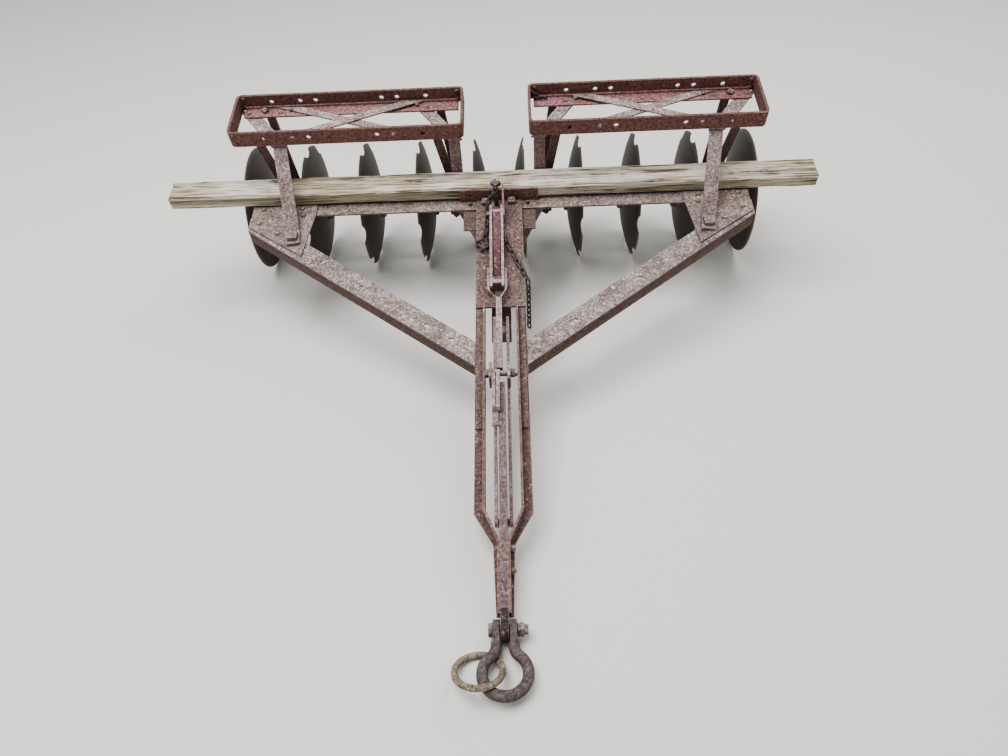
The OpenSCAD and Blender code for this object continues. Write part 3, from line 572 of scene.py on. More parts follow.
@dataclass
class Workpiece:
    """A mesh that is being shaped by hand tools."""

    body: bpy.types.Object

    @classmethod
    def made(cls) -> "Workpiece":
        """Take up the object that an operator has just made."""
        return cls(bpy.context.object)

    @classmethod
    def block(cls, low: Place, high: Place) -> "Workpiece":
        """Start from a block between two corners."""
        clear_selection()
        low, high = Vector(low), Vector(high)
        bpy.ops.mesh.primitive_cube_add(size=1, location=(low + high) / 2, scale=high - low)
        bpy.ops.object.transform_apply(location=True, rotation=True, scale=True)
        return cls.made()

    @classmethod
    def rod(cls, radius: float, length: float, sides: int, at: Place = (0, 0, 0)) -> "Workpiece":
        """Start from an upright rod that stands on a place."""
        clear_selection()
        bpy.ops.mesh.primitive_cylinder_add(vertices=sides, radius=radius, depth=length, location=(0, 0, length / 2))
        bpy.ops.object.transform_apply(location=True, rotation=True, scale=True)
        return cls.made().move(Matrix.Translation(at))

    @classmethod
    def pin(cls, radius: float, start: float, end: float, sides: int, y: float = 0.0, z: float = 0.0) -> "Workpiece":
        """Start from a rod that lies along X from start to end."""
        lay = Matrix.Translation((start, y, z)) @ Matrix.Rotation(math.pi / 2, 4, "Y")
        return cls.rod(radius, end - start, sides).move(lay)

    @classmethod
    def prism(cls, outline: list[Span], low: float, high: float, along: str = "Z") -> "Workpiece":
        """Extrude a closed outline.

        Args:
            outline: its corners, as X and Y for a plate, or as Y and Z for a side profile.
            low: where the prism starts along its axis.
            high: where it ends.
            along: "Z" for a plate, "X" for a side profile.

        Returns:
            The prism with its faces outward.
        """
        clear_selection()
        bpy.ops.mesh.primitive_circle_add(vertices=len(outline), radius=1.0, fill_type="NGON")
        piece = cls.made()
        for vertex, (first, second) in zip(piece.body.data.vertices, outline):
            vertex.co = (first, second, low)
        piece.edit()
        bpy.ops.mesh.select_all(action="SELECT")
        bpy.ops.mesh.extrude_region_move(TRANSFORM_OT_translate={"value": (0, 0, high - low)})
        bpy.ops.mesh.select_all(action="SELECT")
        bpy.ops.mesh.normals_make_consistent(inside=False)
        piece.done()
        if along == "X":
            piece.move(Matrix(((0, 0, 1, 0), (1, 0, 0, 0), (0, 1, 0, 0), (0, 0, 0, 1))))
        return piece

    def hold(self) -> None:
        """Make this piece the only one that operators act on."""
        clear_selection()
        self.body.select_set(True)
        bpy.context.view_layer.objects.active = self.body

    def edit(self) -> None:
        """Open the piece in edit mode with nothing selected."""
        self.hold()
        bpy.ops.object.mode_set(mode="EDIT")
        bpy.ops.mesh.select_all(action="DESELECT")

    def done(self) -> None:
        """Go back to object mode."""
        bpy.ops.object.mode_set(mode="OBJECT")

    def move(self, place: Matrix) -> "Workpiece":
        """Move the mesh by a matrix and return the piece."""
        self.body.data.transform(place)
        return self

    def pick_faces(self, test: Callable[[Vector, Vector], bool]) -> None:
        """Select the faces whose centre and normal pass a test."""
        bpy.ops.mesh.select_mode(type="FACE")
        shape = bmesh.from_edit_mesh(self.body.data)
        for face in shape.faces:
            face.select_set(bool(test(face.calc_center_median(), face.normal)))
        bmesh.update_edit_mesh(self.body.data)

    def pick_edges(self, axis: int) -> None:
        """Select the edges that run along an axis."""
        bpy.ops.mesh.select_mode(type="EDGE")
        shape = bmesh.from_edit_mesh(self.body.data)
        for edge in shape.edges:
            ends = edge.verts[0].co - edge.verts[1].co
            edge.select_set(abs(ends[axis]) > 1)
        bmesh.update_edit_mesh(self.body.data)

    def modify(self, kind: str, **settings: object) -> None:
        """Add a modifier with its settings and apply it."""
        self.hold()
        modifier = self.body.modifiers.new(kind.lower(), kind)
        configure(modifier, **settings)
        bpy.ops.object.modifier_apply(modifier=modifier.name)

    def cut(self, *cutters: "Workpiece") -> None:
        """Take the shapes of cutters out of the piece and leave the cutters as they are."""
        for cutter in cutters:
            self.modify("BOOLEAN", operation="DIFFERENCE", solver="EXACT", object=cutter.body)

    def copy(self, place: Matrix) -> "Workpiece":
        """Return a copy with its own mesh, moved by a matrix."""
        twin = self.body.copy()
        twin.data = self.body.data.copy()
        twin.data.transform(place)
        if place.determinant() < 0:
            twin.data.flip_normals()
        bpy.context.scene.collection.objects.link(twin)
        return Workpiece(twin)

    def discard(self) -> None:
        """Remove a pattern piece or a cutter that has been used."""
        bpy.data.objects.remove(self.body)

    def smooth(self, degrees: float = 35.0) -> None:
        """Shade the piece smooth below an angle."""
        self.hold()
        bpy.ops.object.shade_smooth_by_angle(angle=math.radians(degrees))


def mirrored(pieces: list[Workpiece], side: Side) -> list[Workpiece]:
    """Bring pieces that were made for the right side to a side."""
    if side is Side.RIGHT:
        return pieces
    moved = [piece.copy(side.mirror) for piece in pieces]
    for piece in pieces:
        piece.discard()
    return moved


def join(name: str, pieces: list[Workpiece]) -> bpy.types.Object:
    """Join pieces into one object.

    Args:
        name: the name of the joined piece.
        pieces: what is joined.

    Returns:
        The joined object.
    """
    clear_selection()
    for piece in pieces:
        piece.body.select_set(True)
    bpy.context.view_layer.objects.active = pieces[0].body
    if len(pieces) > 1:
        bpy.ops.object.join()
    made = bpy.context.view_layer.objects.active
    made.name = name
    made.data.name = name
    return made


def paint(piece: bpy.types.Object, finish: Finish) -> None:
    """Give a piece a finish as its only material."""
    piece.data.materials.clear()
    piece.data.materials.append(finish.material())


def finish_piece(made: bpy.types.Object, finish: Finish, body: str, *replaced: str) -> None:
    """Give a new piece its finish and body.

    Args:
        made: the piece, in the parked pose.
        finish: its material.
        body: the CAD body that it rides on.
        replaced: the CAD nodes that it stands for.
    """
    paint(made, finish)
    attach(made, body)
    if replaced:
        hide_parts(*replaced)
    log.info("%s rides on %s with %s", made.name, body, finish.name)


def build_bars(
    name: str, bars: list[Workpiece], finish: Finish, body: str, *replaced: str, edge_mm: float = 0.8
) -> None:
    """Round the edges of bars, tip them to the parked pose and join them.

    Args:
        name: the joined piece's name.
        bars: the bars in the level frame.
        finish: their material.
        body: the CAD body that they ride on.
        replaced: the CAD nodes that they stand for.
        edge_mm: width of the rounded edges.
    """
    for bar in bars:
        bar.modify("BEVEL", width=edge_mm, **ROUNDING)
        bar.move(park())
    made = Workpiece(join(name, bars))
    made.smooth(40)
    finish_piece(made.body, finish, body, *replaced)


def dress_node(node: str, finish: Finish, edge_mm: float = 0.0) -> None:
    """Give a CAD node its finish, and break its sharp edges.

    Args:
        node: the CAD node's name.
        finish: its material.
        edge_mm: width of the broken edge, or 0 to leave the edges alone.
    """
    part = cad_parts[node]
    paint(part, finish)
    if edge_mm:
        part.modifiers.new("weld", "WELD").merge_threshold = WELD_MM * MM
        configure(part.modifiers.new("edge", "BEVEL"), width=edge_mm * MM, harden_normals=False, **ROUNDING)
    log.info("%s keeps its shape with %s", node, finish.name)


# Fasteners


class Head(Enum):
    """Kinds of fastener heads on the machine."""

    SQUARE = "square"
    HEX = "hex"
    RIVET = "rivet"


@dataclass
class FastenerBox:
    """The fasteners, each kind modelled once at its size and then copied."""

    patterns: dict[Head, Workpiece] = field(default_factory=dict)

    def pattern(self, kind: Head) -> Workpiece:
        """Return the model of a kind of head, for 10 mm across the flats, standing on the origin."""
        if kind not in self.patterns:
            self.patterns[kind] = self.rivet() if kind is Head.RIVET else self.nut(kind)
        return self.patterns[kind]

    def nut(self, kind: Head) -> Workpiece:
        """Model a nut, chamfered and hollowed on top, with its bolt end."""
        sides = 4 if kind is Head.SQUARE else 6
        nut = Workpiece.rod(5.0 / math.cos(math.pi / sides), 5.6, sides)
        end = Workpiece.rod(2.9, 7.6, 14)
        for piece, steps in ((nut, ((0.9, 0.5), (0.8, -0.25))), (end, ((0.6, 0.5),))):
            piece.edit()
            piece.pick_faces(lambda centre, normal: normal.z > 0.9)
            for inset, rise in steps:
                bpy.ops.mesh.inset(thickness=inset)
                bpy.ops.transform.translate(value=(0, 0, rise))
            piece.done()
        nut.modify("BEVEL", width=0.25, segments=2, limit_method="ANGLE", angle_limit=math.radians(40))
        whole = Workpiece(join(f"{kind.value}_pattern", [nut, end]))
        whole.smooth()
        return whole

    def rivet(self) -> Workpiece:
        """Model a button head."""
        clear_selection()
        bpy.ops.mesh.primitive_uv_sphere_add(segments=16, ring_count=10, radius=5.0)
        head = Workpiece.made()
        head.edit()
        bpy.ops.mesh.select_all(action="SELECT")
        bpy.ops.mesh.bisect(plane_co=(0, 0, 0), plane_no=(0, 0, 1), clear_inner=True, use_fill=True)
        bpy.ops.mesh.select_all(action="SELECT")
        bpy.ops.transform.resize(value=(1, 1, 0.55))
        head.done()
        head.smooth(50)
        return head

    def fit(self, name: str, rows: list[tuple], body: str, finish: Finish = BOLT_IRON) -> None:
        """Set fasteners in place and join them.

        Args:
            name: the name of the joined piece.
            rows: for each fastener its kind, place, outward direction, size across the flats and turn.
            body: the CAD body that they ride on.
            finish: their material.
        """
        made = []
        for kind, place, outward, size, turn in rows:
            aim = Vector(outward).to_track_quat("Z", "Y").to_matrix().to_4x4()
            spin = Matrix.Rotation(math.radians(turn), 4, "Z")
            stand = Matrix.Translation(Vector(place)) @ aim @ spin @ Matrix.Scale(size / 10, 4)
            made.append(self.pattern(kind).copy(park() @ stand))
        finish_piece(join(name, made), finish, body)

    def put_away(self) -> None:
        """Remove the patterns."""
        for piece in self.patterns.values():
            piece.discard()
        self.patterns.clear()


# Chain and wire


def bend(name: str, points: list[Place], radius: float, roundness: int = 2) -> Workpiece:
    """Bend a round bar through places.

    Args:
        name: the bar's name.
        points: the places it runs through, in millimetres.
        radius: half the bar's thickness in millimetres.
        roundness: how finely its section is drawn.

    Returns:
        The bar as a mesh with closed ends.
    """
    route = bpy.data.curves.new(name, "CURVE")
    configure(
        route, dimensions="3D", bevel_depth=radius, bevel_resolution=roundness, resolution_u=6, use_fill_caps=True
    )
    run = route.splines.new("NURBS")
    run.points.add(len(points) - 1)
    for knot, place in zip(run.points, points):
        knot.co = (*place, 1.0)
    run.use_endpoint_u = True
    run.order_u = 3
    holder = bpy.data.objects.new(name, route)
    bpy.context.scene.collection.objects.link(holder)
    Workpiece(holder).hold()
    bpy.ops.object.convert(target="MESH")
    bent = Workpiece.made()
    bent.smooth(60)
    bent.body.name = name
    return bent


def tie(name: str, points: list[Place], radius: float) -> None:
    """Bend a thin rusted wire through places of the frame."""
    finish_piece(bend(name, points, radius).move(park()).body, BOLT_IRON, "frame")


@dataclass
class Chain:
    """A light welded chain whose links alternate by a quarter turn along its route."""

    name: str
    route: tuple[Place, ...]
    wire_mm: float = 5.4
    pitch: float = 19.0
    width: float = 17.5

    def link(self) -> Workpiece:
        """Model one link, lying flat along X."""
        clear_selection()
        bow = (self.width - self.wire_mm) / 2
        bpy.ops.mesh.primitive_torus_add(
            major_segments=20, minor_segments=8, major_radius=bow, minor_radius=self.wire_mm / 2
        )
        link = Workpiece.made()
        reach = (self.pitch + self.wire_mm) / 2 - bow
        for way in (-1, 1):
            link.edit()
            link.pick_faces(lambda centre, normal: centre.x * way > 0)
            bpy.ops.transform.translate(value=(way * reach, 0, 0))
            link.done()
        link.smooth(60)
        return link

    def places(self) -> list[tuple[Vector, Vector]]:
        """Walk the route in steps of the pitch and return each link's middle and direction."""
        corners = [Vector(place) for place in self.route]
        steps: list[tuple[Vector, Vector]] = []
        spare = 0.0
        for start, end in zip(corners, corners[1:]):
            ahead = (end - start).normalized()
            length = (end - start).length
            while spare <= length:
                steps.append((start + ahead * spare, ahead))
                spare += self.pitch
            spare -= length
        return steps

    def build(self, body: str) -> None:
        """Copy the link along the route and join the copies."""
        link = self.link()
        made = []
        for number, (middle, ahead) in enumerate(self.places()):
            aim = ahead.to_track_quat("X", "Z").to_matrix().to_4x4()
            quarter = Matrix.Rotation(math.radians(45 if number % 2 else -45), 4, "X")
            made.append(link.copy(park() @ Matrix.Translation(middle) @ aim @ quarter))
        link.discard()
        finish_piece(join(self.name, made), FORGED, body)


# Sub-assemblies


@dataclass
class Drawbar:
    """The braced drawbar: two angle bars that close to a nose, cross bar, braces, gussets and deck."""

    box: FastenerBox
    top: float = LAYOUT.frame_top
    deck: float = LAYOUT.frame_top + LAYOUT.wall
    edge_mm: float = 0.8
    doubler_in: float = 48.2
    brace_front: float = 792.0
    brace_rise: float = 0.754
    brace_half: float = 40.08
    brace_out: float = 770.0
    brace_back: float = -248.3
    upright: float = 7.5
    brace_holes: tuple[float, ...] = (136.01, 206.01, 399.98)
    gusset_rivets: tuple[Span, ...] = ((611, -222), (605, -252), (733, -222), (737, -279), (674, -325))

    def build(self) -> None:
        """Dress the frame's nodes and set its bolts and rivets."""
        for finish, nodes in (
            (RED_TONGUE, ("tongue_left", "tongue_right", "deck_plate")), (RED_CORE, ("tongue_core",)),
            (RED_FRAME, ("cross_bar", "gusset_left", "gusset_right")), (RED_DARK, ("splice_plate",)),
            (RED_BOX, ("beam_bracket",)), (BOLT_IRON, ("pivot_bolt_left", "pivot_bolt_right")),
        ):
            for node in nodes:
                dress_node(node, finish, self.edge_mm)
        for side in Side:
            self.brace(side)
        self.rivet_gussets()
        self.bolt_deck()
        self.double_flanges()

    def double_flanges(self) -> None:
        """Lay a doubling plate on each flange of the drawbar, as far as the latch reaches."""
        plates = []
        for side in Side:
            low, high = sorted((side.value * self.doubler_in, side.value * (LAYOUT.drawbar_half - 4)))
            plates.append(Workpiece.block((low, -1026, self.top), (high, -645, self.deck)))
        build_bars("flange_doublers", plates, RED_TONGUE, "frame")

    def middle(self, x: float) -> float:
        """Return how far back the brace's middle line runs at a distance out."""
        return self.brace_rise * (x - LAYOUT.drawbar_half) - self.brace_front

    def brace(self, side: Side) -> None:
        """Model a diagonal brace: an angle bar with three free holes, lapped under the drawbar's flange."""
        half, leg, thick, top = self.brace_half, self.upright, LAYOUT.wall, self.top
        root, end, back = LAYOUT.drawbar_half + 0.3, self.brace_out, self.brace_back
        corner = LAYOUT.drawbar_half + (back - half + self.brace_front) / self.brace_rise

        def strip(start: float, stop: float, near: float, far: float) -> list[Span]:
            """Return the outline of a strip along the brace, between two distances from its middle line."""
            return [
                (start, self.middle(start) + near), (stop, self.middle(stop) + near),
                (stop, self.middle(stop) + far), (start, self.middle(start) + far),
            ]

        flange = Workpiece.prism([
            (root, self.middle(root) - half), (end, self.middle(end) - half), (end, back), (corner, back),
            (root, self.middle(root) + half),
        ], top - thick, top)
        for x in self.brace_holes:
            cutter = Workpiece.rod(6.5, 4 * thick, 28, (x, self.middle(x), top - 2 * thick))
            flange.cut(cutter)
            cutter.discard()
        upright = Workpiece.prism(strip(root, end, -half, leg - half), top - 50, top - thick)
        lap = Workpiece.prism(strip(46, 112, leg - half, half - 12), top - 2 * thick, top - thick)
        build_bars(
            f"brace_bar_{side.word}", mirrored([flange, upright, lap], side), RED_BRACE, "frame",
            f"brace_{side.word}",
        )

    def rivet_gussets(self) -> None:
        """Rivet each gusset to the cross bar and brace."""
        for side in Side:
            rows = [(Head.RIVET, (side.value * x, y, self.deck), UP, 17, 0) for x, y in self.gusset_rivets]
            self.box.fit(f"gusset_rivets_{side.word}", rows, "frame", RED_FRAME)

    def bolt_deck(self) -> None:
        """Bolt the deck plate to the cross bar, and the nose together."""
        rows = [(Head.SQUARE, (-42, -228, self.deck), UP, 22, 40), (Head.SQUARE, (38, -227, self.deck), UP, 22, 46)]
        self.box.fit("deck_bolts", rows, "frame")
        nose, high = (-1345, -1397), self.top + 14
        rows = [(Head.HEX, (15.2, y, high), RIGHTWARD, 15, 12) for y in nose]
        rows += [(Head.RIVET, (-15.2, y, high), LEFTWARD, 15, 0) for y in nose]
        self.box.fit("nose_bolts", rows, "frame")


@dataclass
class TimberBeam:
    """The loose board that lies on the cross bar, silvered and split at its ends."""

    middle: float = -25.0
    half_length: float = 997.0
    front: float = -208.0
    width: float = 82.0
    low: float = 200.0
    height: float = 42.0
    cuts: Place = (260, 35, 23)
    seed: int = 7

    def build(self) -> None:
        """Model the board and let it stand for its node."""
        board = Workpiece.block(
            (self.middle - self.half_length, self.front, self.low),
            (self.middle + self.half_length, self.front + self.width, self.low + self.height),
        )
        board.edit()
        for axis in (1, 2, 0):
            board.pick_edges(axis)
            bpy.ops.mesh.subdivide(number_cuts=self.cuts[axis])
        board.done()
        self.weather(board.body.data)
        board.move(park()).smooth(60)
        board.body.name = "weathered_timber"
        finish_piece(board.body, TIMBER, "frame", "timber_beam")

    def weather(self, mesh: bpy.types.Mesh) -> None:
        """Wash the soft grain out, round the edges off and open the end checks.

        Args:
            mesh: the board's mesh, in the level frame in millimetres.
        """
        middle_y = self.front + self.width / 2
        middle_z = self.low + self.height / 2
        for vertex in mesh.vertices:
            x, y, z = vertex.co
            v, w = y - middle_y, z - middle_z
            side = abs(v) / (self.width / 2)
            up = abs(w) / (self.height / 2)
            # corners worn round, more in some places
            wear = 3.0 + 2.2 * noise.noise(Vector((x / 160, math.copysign(3, v), math.copysign(5, w))))
            corner = max(0.0, side - 0.86) / 0.14 * max(0.0, up - 0.8) / 0.2
            v -= math.copysign(wear * corner, v)
            w -= math.copysign(wear * corner, w)
            # the soft grain is washed out, and checks open, deeper near the ends
            grain = noise.noise(Vector((x / 180, y / 2.6, z / 2.6)))
            check = 1 - abs(noise.noise(Vector((x / 330 + self.seed, y / 9, z / 9)))) * 9
            depth = 0.7 * max(0.0, grain) + 2.6 * max(0.0, check)
            to_end = self.half_length - abs(x - self.middle)
            near_end = max(0.0, 1 - to_end / 240)
            split = 1 - abs(noise.noise(Vector((x / 420 + 31, y / 7, z / 7)))) * (14 - 8 * near_end)
            depth += 6 * near_end * max(0.0, split)
            if side > 0.98:
                v -= math.copysign(depth, v)
            if up > 0.98:
                w -= math.copysign(depth, w)
            end_cut = 0.0
            if to_end < 1:
                end_cut = 5 * abs(noise.noise(Vector((7, y / 14, z / 14))))
                end_cut += 2.5 * abs(noise.noise(Vector((3, y / 3, z / 3))))
            vertex.co = (x - math.copysign(end_cut, x), middle_y + v, middle_z + w)


@dataclass
class TripLatch:
    """The trip lever, its fork and the latch arm on the drawbar, with the slide that they hold."""

    box: FastenerBox
    lever_x: float = -8.0
    pin_y: float = -874.0
    arm_top: float = 226.0
    arm_middle: float = -14.0
    chain_high: float = 207.9
    deck: float = 200.0

    def build(self) -> None:
        """Dress the latch and the slide."""
        for node, finish in (("trip_lever", RED_LEVER), ("slide_bars", RED_PINK), ("slide_head", RED_DARK)):
            dress_node(node, finish, 0.6)
        self.set_middle_bar()
        self.fork()
        self.arm()
        rows = [
            (Head.HEX, (24, self.pin_y, 218), RIGHTWARD, 20, 8),
            (Head.HEX, (-32, self.pin_y, 218), LEFTWARD, 20, 8),
            (Head.HEX, (-28, -562, 220), LEFTWARD, 15, 20),
            (Head.HEX, (12, -562, 220), RIGHTWARD, 15, 4),
            (Head.HEX, (-28, -296, 220), LEFTWARD, 15, 0),
        ]
        self.box.fit("latch_nuts", rows, "frame")
        self.hang_chain()
        self.tie_wires()

    def set_middle_bar(self) -> None:
        """Set the lever's middle bar, which slopes down to the front."""
        rear, front, low, high = -272, -538, 206, 234
        outline = [
            (rear - 22, low + 8), (rear - 15, low + 13), (rear - 15, high - 8), (rear - 22, high - 1),
            (rear - 60, high - 1), (front, low + 14), (front, low + 8),
        ]
        bar = Workpiece.prism(outline, self.lever_x - 9, self.lever_x + 10, "X")
        build_bars("lever_middle_bar", [bar], RED_LEVER, "frame")

    def fork(self) -> None:
        """Model the two arms beside the lever, which meet in a doubled bar."""
        low, high, inside, wall, middle, thick = 206, 228, 21, 7, -4, 8
        arms = []
        for side in (-1, 1):
            outer, inner = self.lever_x + side * (inside + wall), self.lever_x + side * inside
            flank, seam = middle + side * thick, middle + side * 0.2
            arms.append(Workpiece.prism([
                (inner, -520), (outer, -520), (outer, -590), (outer - side * 1.5, -597), (flank + side * 3, -617),
                (flank, -625), (flank, -862), (seam, -862), (seam, -630), (inner, -600), (inner, -596),
            ], low, high))
        build_bars("latch_fork", arms, RED_PINK, "frame", "link_fork")

    def arm(self) -> None:
        """Model the latch arm: two bars on the middle bar, their eye, pin, ears and tongue."""
        top, pin_y, front, middle = self.arm_top, self.pin_y, -997, self.arm_middle
        high = top + 18
        side_bar = [
            (front, top), (front, top + 10), (front + 8, high), (pin_y - 16, high), (pin_y, top + 3),
            (pin_y - 8, top - 14), (-904, top),
        ]
        ear = [
            (pin_y - 26, top - 38), (pin_y - 26, top + 8), (pin_y - 20, top + 14), (pin_y + 20, top + 14),
            (pin_y + 26, top + 8), (pin_y + 26, top - 38),
        ]
        tongue = [
            (middle - 10, front - 38), (middle - 6, front - 42), (middle + 1, front - 42),
            (middle + 5, front - 38), (middle + 5, pin_y - 40), (middle - 10, pin_y - 40),
        ]
        bars = [Workpiece.prism(side_bar, x, x + 9, "X") for x in (middle - 10, middle + 1)]
        bars += [Workpiece.prism(ear, x, x + 8, "X") for x in (-32, 16)]
        bars.append(Workpiece.prism(tongue, top, top + 5))
        for radius, start, end in ((8, -42, 42), (11, middle - 10, middle + 10)):
            bars.append(Workpiece.pin(radius, start, end, 28, pin_y, top - 8))
        build_bars("latch_arm_bars", bars, RED_PINK, "frame", "latch_arm")

    def hang_chain(self) -> None:
        """Lay the chain from the upright bolt over the deck plate and down beside the drawbar."""
        lying = self.chain_high
        near = (
            (-10, -246, 268), (-22, -249, 246), (-33, -252, 222), (-38, -258, lying), (-37, -300, lying),
            (-40, -350, lying), (-46, -384, lying), (-64, -392, lying), (-67, -414, lying),
            (-53, -428, lying), (-38, -418, lying), (-36, -402, lying + 8),
        )
        far = (
            (21, -392, lying), (28, -424, lying), (38, -446, lying), (55, -492, lying), (68, -522, lying),
            (78, -538, 200), (80, -556, 178), (80, -568, 130), (80, -580, 82), (80, -590, 34),
        )
        Chain("post_chain", near).build("frame")
        Chain("latch_chain", far).build("frame")

    def tie_wires(self) -> None:
        """Tie thin wires from the deck bolts to the cross bar's holes, and one round the latch's tongue."""
        deck = self.deck
        left = [(-40, -228, deck + 9), (-56, -238, deck + 12), (-76, -236, deck + 8), (-88, -227, deck - 8)]
        right = [(38, -226, deck + 9), (52, -238, deck + 13), (74, -236, deck + 8), (88, -227, deck - 8)]
        tie("deck_wire_left", left, 0.9)
        tie("deck_wire_right", right, 0.9)
        knot = []
        for turn in range(28):
            rise = 4.6 * math.sin(turn * 0.7) + 0.4 * (turn % 3)
            knot.append((-16 + 9 * math.cos(turn * 0.7), -1034 + 3.5 * math.sin(turn * 1.9), 229.5 + rise))
        tie("tongue_wire", knot, 1.1)


@dataclass
class WeightBox:
    """One gang's frame: the weight box with its rails and straps, the standards and the pull straps."""

    side: Side
    box: FastenerBox
    strap_shares: tuple[Span, ...] = ((0.227, 0.804), (0.77, 0.21))
    bearings: dict[str, Span] = field(default_factory=lambda: {"outer": (691.5, 24.0), "inner": (136.5, 43.0)})
    bearing_radius: float = 46.0
    bearing_half: float = 38.0
    bore_radius: float = 23.1
    flange_in: float = 43.0
    flange_out: float = 62.0
    flange_half: float = 28.0
    flange_thick: float = 8.0
    leg_half: float = 13.0
    rail_leg: float = 44.0
    rail_rise: float = 14.0
    rail_gap: float = 18.0
    strap_half: float = 13.0
    strap_wall: float = 5.0
    strap_bend: float = 28.0

    @property
    def body(self) -> str:
        """The CAD body that this gang's frame is."""
        return f"gang_frame_{self.side.word}"

    def build(self) -> None:
        """Dress the nodes and set the rivets and bolts."""
        dress_node(f"weight_box_{self.side.word}", RED_BOX, 0.8)
        dress_node(f"outer_strap_{self.side.word}", RED_STRAP, 0.8)
        self.angle_rail()
        self.cross_straps()
        self.inner_strap()
        for which, (x, lean) in self.bearings.items():
            self.standard(which, x, lean)
        self.rivet_corners()
        self.bolt_straps()
        self.bolt_bearings()
        if self.side is Side.RIGHT:
            route = ((112, 51, 388), (121, 50, 378), (132, 48, 373), (146, 46, 372), (160, 47, 372))
            Chain("box_chain", route).build(self.body)

    def raise_bars(self, name: str, bars: list[Workpiece], finish: Finish, node: str) -> None:
        """Build bars that were made for the right side, on this side, in place of a node."""
        word = self.side.word
        build_bars(f"{name}_{word}", mirrored(bars, self.side), finish, self.body, f"{node}_{word}")

    def fit(self, name: str, rows: list[tuple], finish: Finish = BOLT_IRON) -> None:
        """Set fasteners whose places are given for the right side, on this side."""
        moved = [
            (kind, (self.side.value * place[0], *place[1:]), outward, size, turn)
            for kind, place, outward, size, turn in rows
        ]
        self.box.fit(f"{name}_{self.side.word}", moved, self.body, finish)

    def bolt_bearings(self) -> None:
        """Bolt each bearing's split flanges together."""
        rows = []
        for middle, _ in self.bearings.values():
            for x in (middle - 18, middle + 18):
                for y in (-54, 54):
                    for z, outward in ((self.flange_thick, UP), (-self.flange_thick, DOWN)):
                        rows.append((Head.SQUARE, (x, y, z), outward, 15, 0))
        self.fit("bearing_bolts", rows, CAST_IRON)

    def inner_strap(self) -> None:
        """Model the inner pull strap: a diagonal under the box, a rise and a flat bar with its slotted eye."""
        foot, half, rise_x, wall, eye_y = -129, 17, 128, 8, -439.28
        slot_half, slot_radius, eye_radius, lean = 6, 11, 32, 21.5
        low = 111 if self.side is Side.LEFT else 102
        top = low + wall
        flat = Workpiece.prism([
            (rise_x + half, foot), (rise_x + half, foot - 18), (16, eye_y - 8), (-16, eye_y + 8),
            (rise_x - half, foot - 26), (rise_x - half, foot),
        ], low, top)
        eye = Workpiece.rod(eye_radius, wall, 48, (0, eye_y, low))
        cutters = [
            Workpiece.rod(slot_radius, 3 * wall, 32, (x, eye_y, low - wall)) for x in (-slot_half, slot_half)
        ]
        cutters.append(Workpiece.block(
            (-slot_half, eye_y - slot_radius, low - wall), (slot_half, eye_y + slot_radius, top + wall)
        ))
        for piece in (flat, eye):
            piece.cut(*cutters)
        for cutter in cutters:
            cutter.discard()
        rise = Workpiece.prism([
            (foot - 4, low), (foot + 8, low), (-101, 350), (-111, 350), (foot - 2, top + 4), (foot - 4, top),
        ], rise_x - half, rise_x + half, "X")
        diagonal = Workpiece.prism([
            (236 - lean, 55), (236 + lean, 55), (124 + lean, -117), (124 - lean, -117),
        ], 350, LAYOUT.box_low)
        self.raise_bars("pull_strap", [flat, eye, rise, diagonal], RED_STRAP, "inner_strap")

    def standard(self, which: str, x: float, lean: float) -> None:
        """Model a standard: two bent legs on a round bearing that is split at its middle.

        Args:
            which: "outer" or "inner".
            x: the bearing's middle.
            lean: how far the legs lean out over their height.
        """
        half, size, thick = self.leg_half, self.bearing_radius, self.flange_thick
        tilt = Matrix.Translation((x, 0, 0)) @ Matrix.Rotation(math.atan(lean / LAYOUT.box_low), 4, "Y")
        pieces = []
        for outline, level in (
            ([(-109, 428), (-99, 428), (-99, 344), (-32, 40), (-44, 40), (-109, 344)], 398),
            ([(49, 418), (49, 344), (32, 40), (44, 40), (61, 344), (61, 418)], LAYOUT.box_low),
        ):
            leg = Workpiece.prism(outline, -half, half, "X").move(tilt)
            leg.edit()
            bpy.ops.mesh.select_all(action="SELECT")
            bpy.ops.mesh.bisect(plane_co=(0, 0, level), plane_no=(0, 0, 1), clear_outer=True, use_fill=True)
            leg.done()
            pieces.append(leg)
        housing = Workpiece.pin(size, x - self.bearing_half, x + self.bearing_half, 56)
        bore = Workpiece.pin(self.bore_radius, x - 70, x + 70, 48)
        housing.cut(bore)
        bore.discard()
        pieces.append(housing)
        pieces.append(Workpiece.block((x - half - 6, -size, size / 2), (x + half + 6, size, size)))
        for way in (-1, 1):
            near, far = sorted((way * self.flange_in, way * self.flange_out))
            pieces.append(Workpiece.block((x - self.flange_half, near, -thick), (x + self.flange_half, far, thick)))
        self.raise_bars(f"bearing_standard_{which}", pieces, RED_DARK, f"standard_{which}")

    def angle_rail(self) -> None:
        """Model the low angle that lies inside the back rail and leaves its holes free."""
        back, low, wall = LAYOUT.box_back - 8, LAYOUT.box_low, LAYOUT.wall
        front, high = back - self.rail_leg, low + self.rail_rise
        outline = [
            (back, low), (back, high), (back - wall, high), (back - wall, low + wall), (front, low + wall),
            (front, low),
        ]
        rail = Workpiece.prism(outline, LAYOUT.box_in + self.rail_gap, LAYOUT.box_out - self.rail_gap, "X")
        self.raise_bars("low_angle", [rail], RED_ANGLE, "angle_rail")

